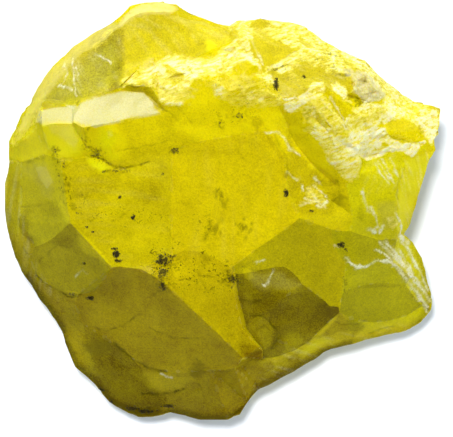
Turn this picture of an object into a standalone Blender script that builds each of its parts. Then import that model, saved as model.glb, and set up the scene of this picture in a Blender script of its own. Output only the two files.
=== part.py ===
"""Native sulfur crystal: one broken lump of intergrown crystals, lying on its flat broken back.

The lump is one closed faceted solid.  Its display side is a net of named corners, joined into flat facets,
ledges and ridges.  Its underside is a ring of steep broken faces that draws in to a flat rest face.
Corners are in millimetres, with +Z up and the display side facing up; the mesh is in metres.
"""
import random

import bmesh
import bpy
from mathutils import Vector, geometry

# ---------------------------------------------------------------- driving dimensions
MM = 0.001
SEED = 71
NODE_NAME = "sulfur_crystal"
REST_PULL = 0.30            # how far the rest face's corners are drawn in from the outline, as a share
REST_UNEVEN = (0.9, 1.1)    # and how unevenly
REST_STRIDE = 5             # every nth corner of the outline is over one of the rest face
SIDE_RINGS = (              # rings down the sides: share drawn in, share of the height, stride, first corner
    (0.035, 0.64, 3, 1),
    (0.11, 0.27, 3, 0),
)
SIDE_UNEVEN = (0.4, 1.6)    # how unevenly each ring is drawn in
SIDE_JITTER = 1.2           # mm, how uneven the rings' heights are
SIDE_CHIPS = (              # broken faces: edges of the sides longer than this are split and moved (mm, mm)
    (6.0, 0.6),
    (3.6, 0.35),
)
LOWEST_CHIP = 0.4           # mm, so that only the rest face touches the ground
ROUGH_EDGE = 0.8            # mm, rough ground stays this far from any named corner
ROUGH_GAP = 0.45            # mm, and this far from any crease
ROUGH_WANDER = 0.4          # how far a chip strays from its even place, as a share of the spacing
SULFUR_COLOUR = (0.74, 0.62, 0.01, 1.0)
SULFUR_ROUGHNESS = 0.3

# ---------------------------------------------------------------- tolerances
NO_AREA = 1e-9              # square mm, a triangle this small has no height to read
SHARE_SLACK = 1e-6          # how far outside a triangle a point may lie, as a share
MERGE_DISTANCE = 1e-5       # mm, closer corners are one

# ---------------------------------------------------------------- outline, clockwise from the upper left lobe
OUTLINE = (
    (-11.9, 29.9, 21.0), (-8.6, 30.0, 21.5), (-6.6, 29.7, 21.5), (-4.7, 28.4, 20.5), (-1.1, 26.9, 20.0),
    (1.3, 26.3, 20.0), (3.0, 27.0, 21.0), (5.4, 27.6, 21.5), (9.6, 27.3, 21.5), (11.9, 26.6, 21.5),
    (14.1, 24.7, 22.0), (17.0, 22.7, 22.5), (20.3, 21.3, 22.5), (23.1, 18.6, 22.0), (26.0, 16.6, 21.5),
    (27.7, 15.6, 21.0), (30.1, 15.1, 21.5), (31.3, 13.9, 21.5), (31.1, 12.0, 22.0), (30.4, 10.3, 23.0),
    (30.6, 8.7, 23.0), (29.7, 7.4, 23.0), (29.0, 4.6, 22.5), (28.1, 1.7, 22.0), (26.9, -1.3, 21.0),
    (25.9, -3.3, 19.5), (27.3, -4.6, 17.0), (28.6, -7.0, 15.5), (29.4, -10.3, 13.0), (30.0, -12.4, 11.5),
    (29.9, -14.0, 10.5), (28.6, -15.7, 10.0), (26.9, -16.9, 10.0), (24.0, -17.6, 11.0), (19.4, -18.7, 11.5),
    (15.7, -19.9, 11.5), (12.9, -21.9, 11.5), (7.9, -24.6, 11.5), (5.4, -25.6, 12.0), (3.7, -27.3, 12.5),
    (2.6, -29.1, 12.5), (0.9, -29.7, 12.5), (-2.0, -29.9, 12.0), (-4.9, -29.4, 11.0), (-7.4, -28.9, 10.0),
    (-9.4, -29.3, 9.5), (-11.9, -29.3, 9.0), (-14.0, -28.4, 9.0), (-16.0, -27.3, 9.0), (-19.3, -23.9, 9.5),
    (-21.0, -22.3, 10.0), (-22.0, -20.1, 10.5), (-22.6, -17.7, 11.0), (-23.9, -15.4, 11.0),
    (-26.3, -11.6, 10.5), (-28.0, -9.0, 10.5), (-29.3, -6.6, 10.5), (-30.3, -2.9, 10.5), (-31.0, 0.4, 11.0),
    (-31.1, 3.3, 11.5), (-30.3, 7.0, 12.0), (-30.3, 9.9, 12.5), (-29.3, 12.0, 13.5), (-28.6, 13.6, 14.0),
    (-27.1, 16.1, 14.5), (-25.1, 19.9, 15.5), (-21.9, 23.6, 16.5), (-18.1, 25.9, 18.0), (-15.1, 27.7, 20.0),
    (-13.6, 29.1, 20.5),
)

# ---------------------------------------------------------------- named corners of the display side
CORNERS = {
    # crest of the upper left lobe, and the yellow hollow below it
    "b1": (-14.0, 27.0, 22.5), "b2": (-11.7, 28.4, 23.5), "b3": (-8.9, 28.7, 24.0), "b4": (-6.6, 28.7, 23.5),
    "b5": (-4.6, 27.3, 21.5),
    "c1": (-13.4, 21.1, 24.4), "c2": (-9.6, 22.8, 24.8), "c3": (-6.6, 23.2, 24.8), "c4": (-3.7, 22.1, 24.6),
    "c5": (-1.6, 22.3, 24.2), "c6": (-0.5, 23.5, 23.8), "c7": (-10.3, 25.9, 24.0), "c8": (-4.6, 24.9, 23.4),
    "v1": (1.2, 24.9, 21.5),
    # hackly frosted ledge: its upper edge, then its crest
    "d1": (-14.7, 17.7, 26.6), "d2": (-11.9, 20.3, 25.6), "d3": (-9.6, 22.1, 25.2), "d4": (-6.6, 22.7, 25.2),
    "d5": (-3.7, 21.5, 25.2), "d6": (-1.7, 21.8, 24.9), "d7": (-0.1, 23.0, 24.6), "d8": (1.6, 24.4, 24.4),
    "d9": (2.9, 25.1, 24.6), "d10": (4.1, 24.1, 25.4), "d11": (5.3, 21.4, 26.8), "d12": (6.4, 19.9, 27.4),
    "d13": (7.4, 18.0, 28.2),
    "d20": (-13.3, 17.9, 27.2), "d21": (-10.1, 17.6, 28.0),
    "d22": (-8.9, 15.7, 28.8), "d23": (-7.1, 15.4, 29.2),
    "d24": (-4.7, 15.9, 29.2), "d25": (-4.7, 17.6, 29.0),
    "d26": (-3.9, 18.9, 28.7), "d27": (-0.9, 18.4, 29.2),
    "d28": (1.0, 17.1, 29.5), "d29": (3.7, 17.6, 29.6), "d30": (6.1, 17.1, 29.5), "d31": (8.3, 15.9, 29.3),
    # ground below the ledge
    "u1": (-8.4, 14.6, 28.7), "u2": (-4.4, 14.9, 29.1), "u3": (-3.2, 17.6, 28.8), "u4": (-0.9, 17.5, 29.1),
    "u5": (1.0, 16.1, 29.4), "u6": (6.0, 16.1, 29.4), "u7": (8.0, 15.0, 29.1),
    # large prism: roof, crest and front
    "l1": (-21.1, 13.4, 27.1), "l2": (-19.7, 16.0, 26.2),
    "l3": (-14.0, 17.1, 26.6), "l4": (-11.1, 16.9, 27.2),
    "l5": (-9.6, 15.6, 28.0), "l6": (-9.0, 14.0, 28.8), "l7": (-17.0, 12.4, 28.2), "l8": (-19.7, 11.9, 28.0),
    "l9": (-21.1, 12.6, 27.4), "l10": (-19.1, 8.7, 26.2),
    "l11": (-17.9, 7.6, 26.0), "l12": (-15.7, 6.4, 26.4),
    "l13": (-14.0, 6.1, 26.8), "l14": (-10.0, 7.1, 27.8), "l15": (-7.7, 9.0, 28.3),
    # ground beside the prisms
    "a20": (-19.9, 16.9, 25.7), "a21": (-14.2, 18.0, 26.0), "a22": (-21.5, 15.0, 25.2),
    # small prism left of it
    "m1": (-25.7, 14.3, 24.0), "m2": (-21.4, 14.7, 25.4),
    "m3": (-21.4, 12.4, 26.6), "m4": (-24.3, 12.4, 26.0),
    "m5": (-25.6, 12.0, 25.2), "m6": (-24.7, 8.7, 24.4),
    # upper left flank
    "a1": (-26.0, 15.9, 18.5), "a2": (-23.7, 18.9, 20.0),
    "a3": (-21.0, 22.4, 20.5), "a4": (-17.4, 24.3, 22.0),
    "a5": (-23.1, 18.0, 22.5), "a6": (-16.6, 19.0, 24.6), "a7": (-13.9, 24.0, 23.8),
    # left flank
    "n2": (-26.4, 11.9, 22.4), "n3": (-25.3, 8.1, 23.4), "n4": (-28.6, 6.9, 17.0), "n5": (-29.0, 9.5, 16.5),
    "n6": (-28.6, 0.6, 15.6), "n7": (-28.4, -1.6, 15.4), "n8": (-26.6, -5.1, 15.8), "n9": (-23.6, 1.2, 22.8),
    # bright facets left of the middle and in the middle
    "k1": (-23.1, 7.3, 24.8), "k2": (-21.6, -1.7, 24.9),
    "k3": (-15.7, -8.1, 25.6), "k4": (-14.4, -7.9, 25.9),
    "k5": (-11.6, -8.3, 26.7),
    "j1": (-7.1, 8.6, 28.5), "j2": (-3.0, 9.9, 28.5), "j3": (6.1, 11.4, 28.8), "j4": (11.1, -1.0, 28.2),
    "j5": (1.3, -8.1, 27.5), "j6": (-7.3, -6.4, 27.6), "j7": (9.3, 3.0, 28.3), "j8": (8.7, 7.6, 28.5),
    # lower left dark facets
    "o1": (-18.0, -11.3, 20.0), "o2": (-20.6, -12.0, 18.2),
    "o3": (-23.1, -11.4, 15.8), "o4": (-26.3, -9.4, 13.2),
    "o5": (-27.4, -6.6, 14.0), "o6": (-28.6, -4.1, 14.0),
    "o7": (-21.1, -13.1, 17.0), "o8": (-19.9, -16.1, 14.9),
    "o9": (-19.4, -18.4, 14.0), "o10": (-18.3, -21.3, 12.6), "o11": (-15.6, -18.9, 16.2),
    "o12": (-12.6, -21.3, 15.5), "o13": (-9.4, -22.9, 15.7),
    "o14": (-5.9, -22.9, 17.5), "o15": (-1.6, -22.9, 19.5),
    "o16": (1.9, -22.4, 20.0),
    # bright wedge
    "p1": (-8.0, -10.6, 27.2), "p2": (1.4, -19.4, 24.0), "p3": (5.3, -19.3, 23.8), "p4": (2.9, -16.6, 24.8),
    "p5": (1.7, -11.9, 26.3), "p6": (2.9, -21.0, 23.0),
    # right of it: plain facet, then the darker hollow facet
    "q1": (17.1, -11.9, 20.8), "q2": (15.6, -2.6, 26.0), "q3": (17.6, -7.4, 22.9), "q4": (16.6, -13.7, 20.0),
    "q5": (15.4, -13.6, 20.4), "q6": (14.0, -12.3, 21.5), "q7": (11.3, -10.4, 23.3), "q8": (8.4, -8.7, 25.0),
    "q9": (4.3, -8.7, 26.3), "q10": (1.9, -9.0, 26.9),
    "q11": (16.8, -14.5, 18.4), "q12": (14.1, -17.0, 17.3),
    "q13": (12.4, -18.9, 16.5), "q14": (9.6, -20.6, 16.0),
    "q15": (5.9, -21.1, 17.0), "q16": (3.1, -22.2, 18.5),
    "q17": (2.4, -12.1, 25.2), "q18": (3.5, -16.7, 22.3), "q19": (5.8, -19.9, 19.0),
    "s1": (7.1, -23.0, 14.0), "s2": (11.1, -21.0, 14.2),
    "s3": (15.4, -18.4, 14.6), "s4": (19.0, -16.9, 14.6),
    # lower right block and its frosted ridge
    "r1": (18.4, -2.9, 25.0), "r2": (22.3, -4.1, 21.8), "r5": (17.7, -11.3, 20.4), "r6": (21.9, -10.3, 18.6),
    "r7": (26.3, -10.6, 15.4), "r9": (20.4, -15.9, 15.2),
    "r10": (25.4, -15.3, 12.4), "r11": (28.5, -13.6, 11.2),
    "w2": (19.4, -8.0, 22.2), "w3": (21.9, -7.0, 20.9), "w4": (24.4, -7.3, 18.9), "w5": (26.9, -9.4, 16.4),
    # right flank
    "t1": (20.1, 7.6, 26.4), "t2": (25.4, 8.7, 25.4), "t3": (28.3, 9.0, 24.2), "t4": (18.6, -0.6, 25.6),
    "t6": (26.0, 6.6, 25.0), "t7": (25.1, 3.4, 24.7), "t8": (24.8, -0.7, 23.6), "t9": (24.9, -4.1, 20.8),
    # pale ground at the upper right, and the crumbly crust
    "g1": (17.6, 16.6, 28.4), "g2": (23.1, 14.4, 26.2), "g3": (21.4, 10.3, 26.9), "g4": (26.0, 10.6, 25.2),
    "g5": (28.8, 11.6, 23.4), "g6": (27.0, 13.4, 23.6),
    "f1": (17.4, 20.7, 25.4), "f2": (20.6, 19.3, 26.0), "f3": (22.4, 17.0, 25.6), "f4": (20.4, 15.6, 27.0),
    # frosted ridge and the shell-shaped hollow beside it
    "h1": (12.3, 17.7, 29.8), "h2": (14.9, 17.7, 29.6), "h3": (16.9, 13.3, 30.0), "h4": (19.4, 8.7, 28.3),
    "h5": (19.6, 5.4, 27.3), "h6": (17.7, 3.7, 27.4), "h7": (14.9, 7.0, 28.4), "h8": (12.0, 12.0, 29.3),
    "h9": (13.0, 15.1, 30.2), "h10": (15.4, 10.9, 29.8), "h11": (17.3, 6.6, 28.6),
    "i1": (9.7, 10.9, 28.0), "i2": (12.3, 7.3, 27.2), "i3": (13.3, 3.0, 26.7), "i4": (16.1, 3.7, 26.8),
    "i5": (15.4, 0.3, 26.6),
    # upper right yellow ground
    "e1": (5.7, 25.1, 23.0), "e2": (11.1, 22.9, 25.4), "e3": (7.4, 20.6, 25.8), "e4": (14.3, 21.9, 25.4),
    "e5": (11.1, 18.9, 27.6), "e6": (15.6, 18.9, 27.4), "e7": (8.3, 17.4, 28.4),
}

# Flat facets: the first three corners fix the plane, the rest are moved up or down onto it.
FLATS = (
    ("j2", "j3", "j5", "j6", "j1", "j7", "j8", "j4"),
    ("k1", "k3", "j6", "j1", "l14", "l13", "l12", "l11", "k2"),
    ("p1", "p2", "o12", "k3", "o11", "o13", "o14", "o15", "o16"),
    ("p1", "p2", "j5", "p5", "p4", "p3", "p6"),
    ("j5", "j4", "q1", "q2", "q3", "q4", "q5", "q6", "q7", "q8", "q9", "q10"),
    ("l2", "l7", "l6", "l3", "l4", "l5", "l8"),
)

# Sharp edges between the facets, as chains of corners.
CREASES = (
    ("b1", "b2", "b3", "b4", "b5"), ("c1", "c2", "c3", "c4", "c5", "c6", "v1"),
    ("b1", "a7", "c1", "d2", "d1"),
    ("d1", "d2", "d3", "d4", "d5", "d6", "d7", "d8", "d9", "d10", "d11", "d12", "d13", "d31"),
    ("d1", "d20", "d21", "d22", "d23", "d24", "d25", "d26", "d27", "d28", "d29", "d30", "d31"),
    ("u1", "u2", "u3", "u4", "u5", "u6", "u7"),
    ("l1", "l2", "l3", "l4", "l5", "l6", "l7", "l8", "l9", "l1"),
    ("l9", "l10", "l11", "l12", "l13", "l14", "l15", "l6"), ("l8", "l10"), ("a22", "m2"),
    ("m1", "m2", "m3", "m4", "m5", "m1"), ("m5", "m6", "k1"), ("m3", "l10"),
    ("a1", "a2", "a3", "a4", "b1"), ("d1", "a6", "a7"),
    ("n2", "n3", "n4", "n5", "n2"), ("n3", "m6"), ("n2", "m5"), ("n4", "n6", "n7", "n8", "k2"),
    ("n6", "n9"), ("n8", "o5"),
    ("k1", "k2", "k3", "k4", "k5", "p1"), ("k1", "l11"), ("j1", "j6", "k5"),
    ("j1", "j2", "j3", "j8", "j7", "j4", "j5", "j6"), ("j1", "l15"), ("j6", "p1"),
    ("p1", "p2", "p6", "p3", "p4", "p5", "j5"),
    ("k3", "o1", "o2", "o3", "o4", "o5", "o6"), ("o2", "o7", "o8", "o9", "o10"),
    ("o8", "o11", "o12", "o13", "o14", "o15", "o16", "p6"),
    ("j4", "q2", "q3", "q1", "q4", "q5", "q6", "q7", "q8", "q9", "q10", "j5"),
    ("q10", "q17", "q18", "q19", "q15"), ("q4", "q11", "q12", "q13", "q14", "q15", "q16", "o16"),
    ("q16", "s1", "s2", "s3", "s4", "q11"),
    ("q3", "w2", "w3", "w4", "w5"), ("q2", "r1", "r2", "t9"), ("q1", "r5", "r6", "r7"),
    ("q11", "r9", "r10", "r11"), ("r7", "r11"),
    ("h6", "t4", "r1"), ("h5", "t1", "t2", "t3"), ("t2", "t6", "t7", "t8", "t9", "w4"),
    ("g1", "g2", "g6"), ("g3", "g4", "g5"), ("g3", "t1"),
    ("f1", "f2", "f3", "f4", "g1"), ("e4", "f1"),
    ("h1", "h2", "h3", "h4", "h5", "h6", "h7", "h8", "u7"), ("h1", "h9", "h10", "h11", "h6"), ("h9", "h8"),
    ("j3", "i1", "i2", "i3", "i5", "j4"), ("i2", "i4", "h6"), ("i1", "h8"),
    ("e1", "e2", "e3", "d12"), ("e2", "e4"), ("e7", "e5", "e6", "g1"), ("e7", "d31"), ("e5", "h1"),
)

# Hackly ground: zone corners, spacing of the chips (mm), and how uneven they are (mm).
ROUGH_ZONES = (
    (("d1", "d3", "d5", "d7", "d9", "d11", "d13", "d31", "d29", "d27", "d25", "d23", "d21"), 1.15, 0.55),
    (("h1", "h2", "h3", "h4", "h5", "h6", "h7", "h8"), 1.3, 0.3),
    (("f1", "f2", "f3", "f4", "g1"), 0.95, 0.7),
    (("g1", "f4", "f3", "g6", "g5", "g4", "g3", "t1", "h4", "h3"), 1.5, 0.5),
    (("e1", "e2", "e4", "f1", "g1", "e6", "e5", "e7", "d12", "e3"), 1.7, 0.3),
    (("a22", "m1", "a5", "a6", "a21", "a20"), 2.2, 0.1),
    (("u1", "u2", "u4", "u6", "u7", "h8", "i1", "j3", "j2", "j1"), 2.1, 0.12),
    (("i1", "h8", "h7", "i4", "i5", "i3", "i2"), 1.7, 0.3),
    (("q10", "q9", "q8", "q7", "q6", "q5", "q11", "q12", "q13", "q14", "q15", "q18", "q17"), 2.1, 0.35),
    (("w2", "w4", "r7", "r6", "r5"), 2.0, 0.25),
    (("o11", "o13", "o15", "s1", "q16"), 2.0, 0.2),
)


def corner_points():
    """Every named corner as a vector, with the corners of each flat facet brought onto its plane."""
    points = {name: Vector(place) for name, place in CORNERS.items()}
    for facet in FLATS:
        first, second, third = (points[name] for name in facet[:3])
        normal = (second - first).cross(third - first)
        for name in facet[3:]:
            point = points[name]
            drop = (normal.x * (point.x - first.x) + normal.y * (point.y - first.y)) / normal.z
            point.z = first.z - drop
    return points


def inside(point, polygon):
    """Whether a point lies inside a polygon, both seen from above."""
    crossings = 0
    for index, start in enumerate(polygon):
        end = polygon[(index + 1) % len(polygon)]
        if (start.y > point.y) != (end.y > point.y):
            along = (point.y - start.y) / (end.y - start.y)
            if start.x + along * (end.x - start.x) > point.x:
                crossings += 1
    return crossings % 2 == 1


def height_at(point, points, triangles):
    """Height of the net above a point, or None outside it."""
    for triangle in triangles:
        a, b, c = (points[index] for index in triangle)
        area = (b.x - a.x) * (c.y - a.y) - (c.x - a.x) * (b.y - a.y)
        if abs(area) < NO_AREA:
            continue
        share_b = ((point.x - a.x) * (c.y - a.y) - (c.x - a.x) * (point.y - a.y)) / area
        share_c = ((b.x - a.x) * (point.y - a.y) - (point.x - a.x) * (b.y - a.y)) / area
        if min(share_b, share_c, 1 - share_b - share_c) >= -SHARE_SLACK:
            return a.z + share_b * (b.z - a.z) + share_c * (c.z - a.z)
    return None


def triangulate(points, edges, loop_size):
    """Triangles over the points, inside the loop of the first loop_size points, keeping the edges."""
    flat = [point.to_2d() for point in points]
    loop = [(index, (index + 1) % loop_size) for index in range(loop_size)]
    result = geometry.delaunay_2d_cdt(flat, loop + edges, [], 0, MERGE_DISTANCE)
    new_points, faces, origins = result[0], result[2], result[3]
    names = []
    for place, origin in zip(new_points, origins):
        if not origin:
            raise ValueError("edges cross near %.2f, %.2f" % (place.x, place.y))
        names.append(origin[0])
    border = points[:loop_size]
    kept = []
    for face in faces:
        middle = sum((new_points[index] for index in face), Vector((0, 0))) / len(face)
        if inside(middle, border):
            kept.append(tuple(names[index] for index in face))
    return kept


def edge_distance(spot, start, end):
    """Distance from a spot to the edge between two points, seen from above."""
    along = (end - start).xy
    share = (spot - start).xy.dot(along) / along.length_squared
    return ((spot - start).xy - along * max(0.0, min(1.0, share))).length


def too_close(spot, points, edges):
    """Whether a spot lies on a named corner or a crease, or nearly so."""
    if min((spot - point).xy.length for point in points) < ROUGH_EDGE:
        return True
    return min(edge_distance(spot, points[a], points[b]) for a, b in edges) < ROUGH_GAP


def scatter(zone, spacing, uneven, points, edges, named, triangles, chance):
    """Chipped ground: points about one spacing apart in a zone, a little above or below the net."""
    polygon = [named[name] for name in zone]
    low_x, high_x = min(p.x for p in polygon), max(p.x for p in polygon)
    low_y, high_y = min(p.y for p in polygon), max(p.y for p in polygon)
    chips = []
    y = low_y
    while y < high_y:
        x = low_x
        while x < high_x:
            stray = spacing * ROUGH_WANDER
            spot = Vector((x + chance.uniform(-stray, stray), y + chance.uniform(-stray, stray), 0))
            lift = chance.uniform(-uneven, uneven)
            x += spacing
            if not inside(spot, polygon) or too_close(spot, points, edges):
                continue
            height = height_at(spot, points, triangles)
            if height is not None:
                chips.append(Vector((spot.x, spot.y, height + lift)))
        y += spacing
    return chips


def display_side(chance):
    """Points and triangles of the display side; the outline's points come first."""
    named = corner_points()
    order = {name: len(OUTLINE) + index for index, name in enumerate(named)}
    points = [Vector(place) for place in OUTLINE] + list(named.values())
    edges = [(order[a], order[b]) for chain in CREASES for a, b in zip(chain, chain[1:])]
    triangles = triangulate(points, edges, len(OUTLINE))
    chips = []
    for zone, spacing, uneven in ROUGH_ZONES:
        chips += scatter(zone, spacing, uneven, points, edges, named, triangles, chance)
    points += chips
    return points, triangulate(points, edges, len(OUTLINE))


def side_rings(chance):
    """The rings of corners down the broken sides, from below the outline to the rest face."""
    rings = []
    for pull, rise, stride, first in SIDE_RINGS:
        ring = []
        for corner in OUTLINE[first::stride]:
            inward = 1 - pull * chance.uniform(*SIDE_UNEVEN)
            drop = chance.uniform(-1, 1) * SIDE_JITTER
            ring.append(Vector((corner[0] * inward, corner[1] * inward, corner[2] * rise + drop)))
        rings.append(ring)
    foot = []
    for corner in OUTLINE[::REST_STRIDE]:
        foot.append(Vector(corner[:2]) * (1 - REST_PULL * chance.uniform(*REST_UNEVEN)))
    hull = sorted(geometry.convex_hull_2d(foot))
    rings.append([Vector((foot[index].x, foot[index].y, 0.0)) for index in hull])
    return rings


def stitch(solid, upper, lower):
    """Faces between two rings that run the same way round, always over the shorter diagonal."""
    start = min(range(len(lower)), key=lambda index: (lower[index].co - upper[0].co).length)
    lower = lower[start:] + lower[:start]
    made = []
    done_upper = done_lower = 0
    while done_upper < len(upper) or done_lower < len(lower):
        here, there = upper[done_upper % len(upper)], lower[done_lower % len(lower)]
        next_upper, next_lower = upper[(done_upper + 1) % len(upper)], lower[(done_lower + 1) % len(lower)]
        over_upper = (next_upper.co - there.co).length
        over_lower = (next_lower.co - here.co).length
        if done_lower == len(lower) or (done_upper < len(upper) and over_upper <= over_lower):
            made.append(solid.faces.new((here, next_upper, there)))
            done_upper += 1
        else:
            made.append(solid.faces.new((here, next_lower, there)))
            done_lower += 1
    return made


def chip(solid, sides, chance):
    """Breaks the long edges of the sides, and moves each new corner a little, for chunky broken faces."""
    for reach, uneven in SIDE_CHIPS:
        long_edges = [edge for edge in solid.edges
                      if edge.calc_length() > reach and all(face[sides] for face in edge.link_faces)]
        split = bmesh.ops.subdivide_edges(solid, edges=long_edges, cuts=1)
        for vert in split["geom_inner"]:
            if isinstance(vert, bmesh.types.BMVert):
                vert.co += Vector([chance.uniform(-uneven, uneven) for _ in range(3)])
                vert.co.z = max(vert.co.z, LOWEST_CHIP)
        bmesh.ops.triangulate(solid, faces=[face for face in solid.faces if len(face.verts) > 3])


def lump_mesh():
    """The closed mesh, in metres, standing on z = 0 with its box centred over the origin."""
    chance = random.Random(SEED)
    top, top_faces = display_side(chance)
    solid = bmesh.new()
    sides = solid.faces.layers.int.new("sides")
    verts = [solid.verts.new(point) for point in top]
    for face in top_faces:
        solid.faces.new([verts[index] for index in face])
    upper = verts[:len(OUTLINE)]
    for ring in side_rings(chance):
        lower = [solid.verts.new(point) for point in ring]
        for face in stitch(solid, upper, lower):
            face[sides] = 1
        upper = lower
    solid.faces.new(upper)
    bmesh.ops.recalc_face_normals(solid, faces=solid.faces)
    chip(solid, sides, chance)
    low = Vector([min(vert.co[axis] for vert in solid.verts) for axis in range(3)])
    high = Vector([max(vert.co[axis] for vert in solid.verts) for axis in range(3)])
    centre = Vector(((low.x + high.x) / 2, (low.y + high.y) / 2, 0))
    bmesh.ops.translate(solid, verts=solid.verts, vec=-centre)
    bmesh.ops.scale(solid, verts=solid.verts, vec=(MM, MM, MM))
    mesh = bpy.data.meshes.new(NODE_NAME)
    solid.to_mesh(mesh)
    solid.free()
    return mesh


def sulfur_material():
    material = bpy.data.materials.new("sulfur")
    material.use_nodes = True
    shader = material.node_tree.nodes["Principled BSDF"]
    shader.inputs["Base Color"].default_value = SULFUR_COLOUR
    shader.inputs["Roughness"].default_value = SULFUR_ROUGHNESS
    shader.inputs["Metallic"].default_value = 0.0
    return material


def build():
    for thing in list(bpy.data.objects):
        bpy.data.objects.remove(thing)
    crystal = bpy.data.objects.new(NODE_NAME, lump_mesh())
    crystal.data.materials.append(sulfur_material())
    bpy.context.scene.collection.objects.link(crystal)


build()
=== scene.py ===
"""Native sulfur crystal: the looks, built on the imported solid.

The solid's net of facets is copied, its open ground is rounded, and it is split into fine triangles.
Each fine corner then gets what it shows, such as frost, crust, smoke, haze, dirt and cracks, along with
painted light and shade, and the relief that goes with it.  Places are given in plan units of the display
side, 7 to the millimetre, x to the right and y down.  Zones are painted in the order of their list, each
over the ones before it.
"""
import itertools
import math

import bpy
import numpy as np
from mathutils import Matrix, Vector, kdtree
from mathutils.bvhtree import BVHTree


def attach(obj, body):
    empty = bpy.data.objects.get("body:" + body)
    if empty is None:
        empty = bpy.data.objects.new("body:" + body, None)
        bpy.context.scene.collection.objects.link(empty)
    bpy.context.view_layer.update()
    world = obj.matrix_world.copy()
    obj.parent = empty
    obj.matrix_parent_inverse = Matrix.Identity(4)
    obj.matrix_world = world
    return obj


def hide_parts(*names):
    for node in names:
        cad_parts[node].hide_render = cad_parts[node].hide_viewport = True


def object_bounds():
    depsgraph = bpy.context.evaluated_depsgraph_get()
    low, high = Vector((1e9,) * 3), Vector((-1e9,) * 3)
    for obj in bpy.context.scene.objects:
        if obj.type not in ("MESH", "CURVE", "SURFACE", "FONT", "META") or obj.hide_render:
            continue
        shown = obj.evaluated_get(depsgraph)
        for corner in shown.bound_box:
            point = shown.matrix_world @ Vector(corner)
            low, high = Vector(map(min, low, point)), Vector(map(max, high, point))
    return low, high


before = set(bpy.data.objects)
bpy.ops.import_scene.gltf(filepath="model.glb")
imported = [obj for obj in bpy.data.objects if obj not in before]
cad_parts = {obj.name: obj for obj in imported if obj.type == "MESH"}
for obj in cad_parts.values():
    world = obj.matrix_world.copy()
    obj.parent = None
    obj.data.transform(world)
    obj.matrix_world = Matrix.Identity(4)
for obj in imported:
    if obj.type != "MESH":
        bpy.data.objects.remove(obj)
cad_low, cad_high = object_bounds()

MM = 0.001
NODE = "sulfur_crystal"
UNITS_PER_MM = 7.0
PLAN_ORIGIN = (222.873, 210.106)    # the plan place over the solid's origin
PLAN_SIZE = (453, 437)

# ---------------------------------------------------------------- mesh fineness, mm
DISPLAY_EDGE = 0.62
BROKEN_EDGE = 0.32                  # where the ground is frosted or crusted
DETAIL_EDGE = 0.25                  # at cracks, scratches, specks and the rims of inner planes
SIDE_EDGE = 1.0
REST_EDGE = 2.5
REST_HEIGHT = 0.05                  # what lies lower is on the rest face
BOX_MARGIN = 0.01                   # how far the visible lump stays inside the solid's box
FACING_UP = 0.02                    # a displayed triangle's normal rises at least this much
RAY_LIFT = 0.01
SPLIT_ROUNDS = 9
SMOOTH_ROUNDS = 2
KEPT_PLACE = 0.45                   # a corner of open ground keeps this share of its place in a round
CURVE_DIVISOR = 16                  # of a curve that passes through four corners

# ---------------------------------------------------------------- mesh fineness, plan units
DETAIL_REACH = 2.2                  # round a crack or a speck
PLANE_REACH = 1.4                   # round the rim of an inner plane
BROKEN_REACH = 2                    # round frosted or crusted ground
ZONE_MARGIN = 20                    # nothing of a zone shows farther from its outline
LINE_MARGIN = 8                     # nothing of a line shows farther from its path

# ---------------------------------------------------------------- angles, degrees
CREASE_DEG = 30
FACET_CREASE_DEG = 5                # a crease between two facets may be this flat
CURVE_LIMIT_DEG = 28                # a crease that turns more has a corner there
SHARP_DEG = 24

# ---------------------------------------------------------------- relief, mm
HACKLE_RELIEF = 0.17
RIPPLE_RELIEF = 0.10
CHIP_RELIEF = 0.08
CRUST_RELIEF = 0.40
ROUGH_RELIEF = 0.03
SWELL_RELIEF = 0.02
DRIFT = 0.07                        # how far corners stray sideways
DRAWN_RELIEF = {"stripe": 0.05, "wear": -0.12, "crack": -0.07, "dirt": 0.06, "scratch": 0.04}
WEAR_REACH = 0.35                   # how far from a crease its wear goes
FADE_HEIGHT = 1.0                   # relief fades out below this height above the rest face
# the noise of the ground: size in mm, seed, and for the chips how far they tilt
GROUND_NOISE = {
    "large hackles": (1.9, 11), "small hackles": (0.8, 12), "hackle grains": (0.45, 13), "ripple": (3.2, 14),
    "rough": (0.9, 15), "swell": (5.0, 16), "wear": (1.1, 17), "knobs": (0.72, 18), "chips": (3.6, 19, 0.6),
    "side frost": (7.0, 200),
}
HACKLE_SHARES = {"large hackles": 0.5, "small hackles": 0.35, "hackle grains": 0.35}
DRIFT_SIZE = 2.2
DRIFT_SEEDS = (21, 22, 23)

# ---------------------------------------------------------------- strengths
SIDE_BROKEN = 0.35                  # how broken the hidden sides are, against full frost
SIDE_FROST = 0.6
SIDE_FROST_RANGE = (0.05, 0.55)     # the noise over which the sides' patches of frost grow
FROST_LEVEL, FROST_HACKLE = 0.8, 0.45
DIRT_STRENGTH = 0.95
STRIPE_TONE = 0.10
STRIPE_STREAK = 0.45
CRACK_SMOKE = 0.8
# painted shade along the rim's lower half, and the green cast it is given there
RIM_PAINTED_SHADE = 0.35
RIM_SHADE_GREEN = 0.7

# ---------------------------------------------------------------- the seed of each thing drawn
SEEDS = {
    "frost": 100, "cream": 130, "crust": 140, "smoke": 150, "glow": 160, "haze": 170, "pepper": 180,
    "matt": 190, "green": 190, "stripe": 220, "crack": 300, "scratch": 400, "dirt": 500, "smudge": 600,
    "tone": 700, "shade": 900, "grains": 77,
}
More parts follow.
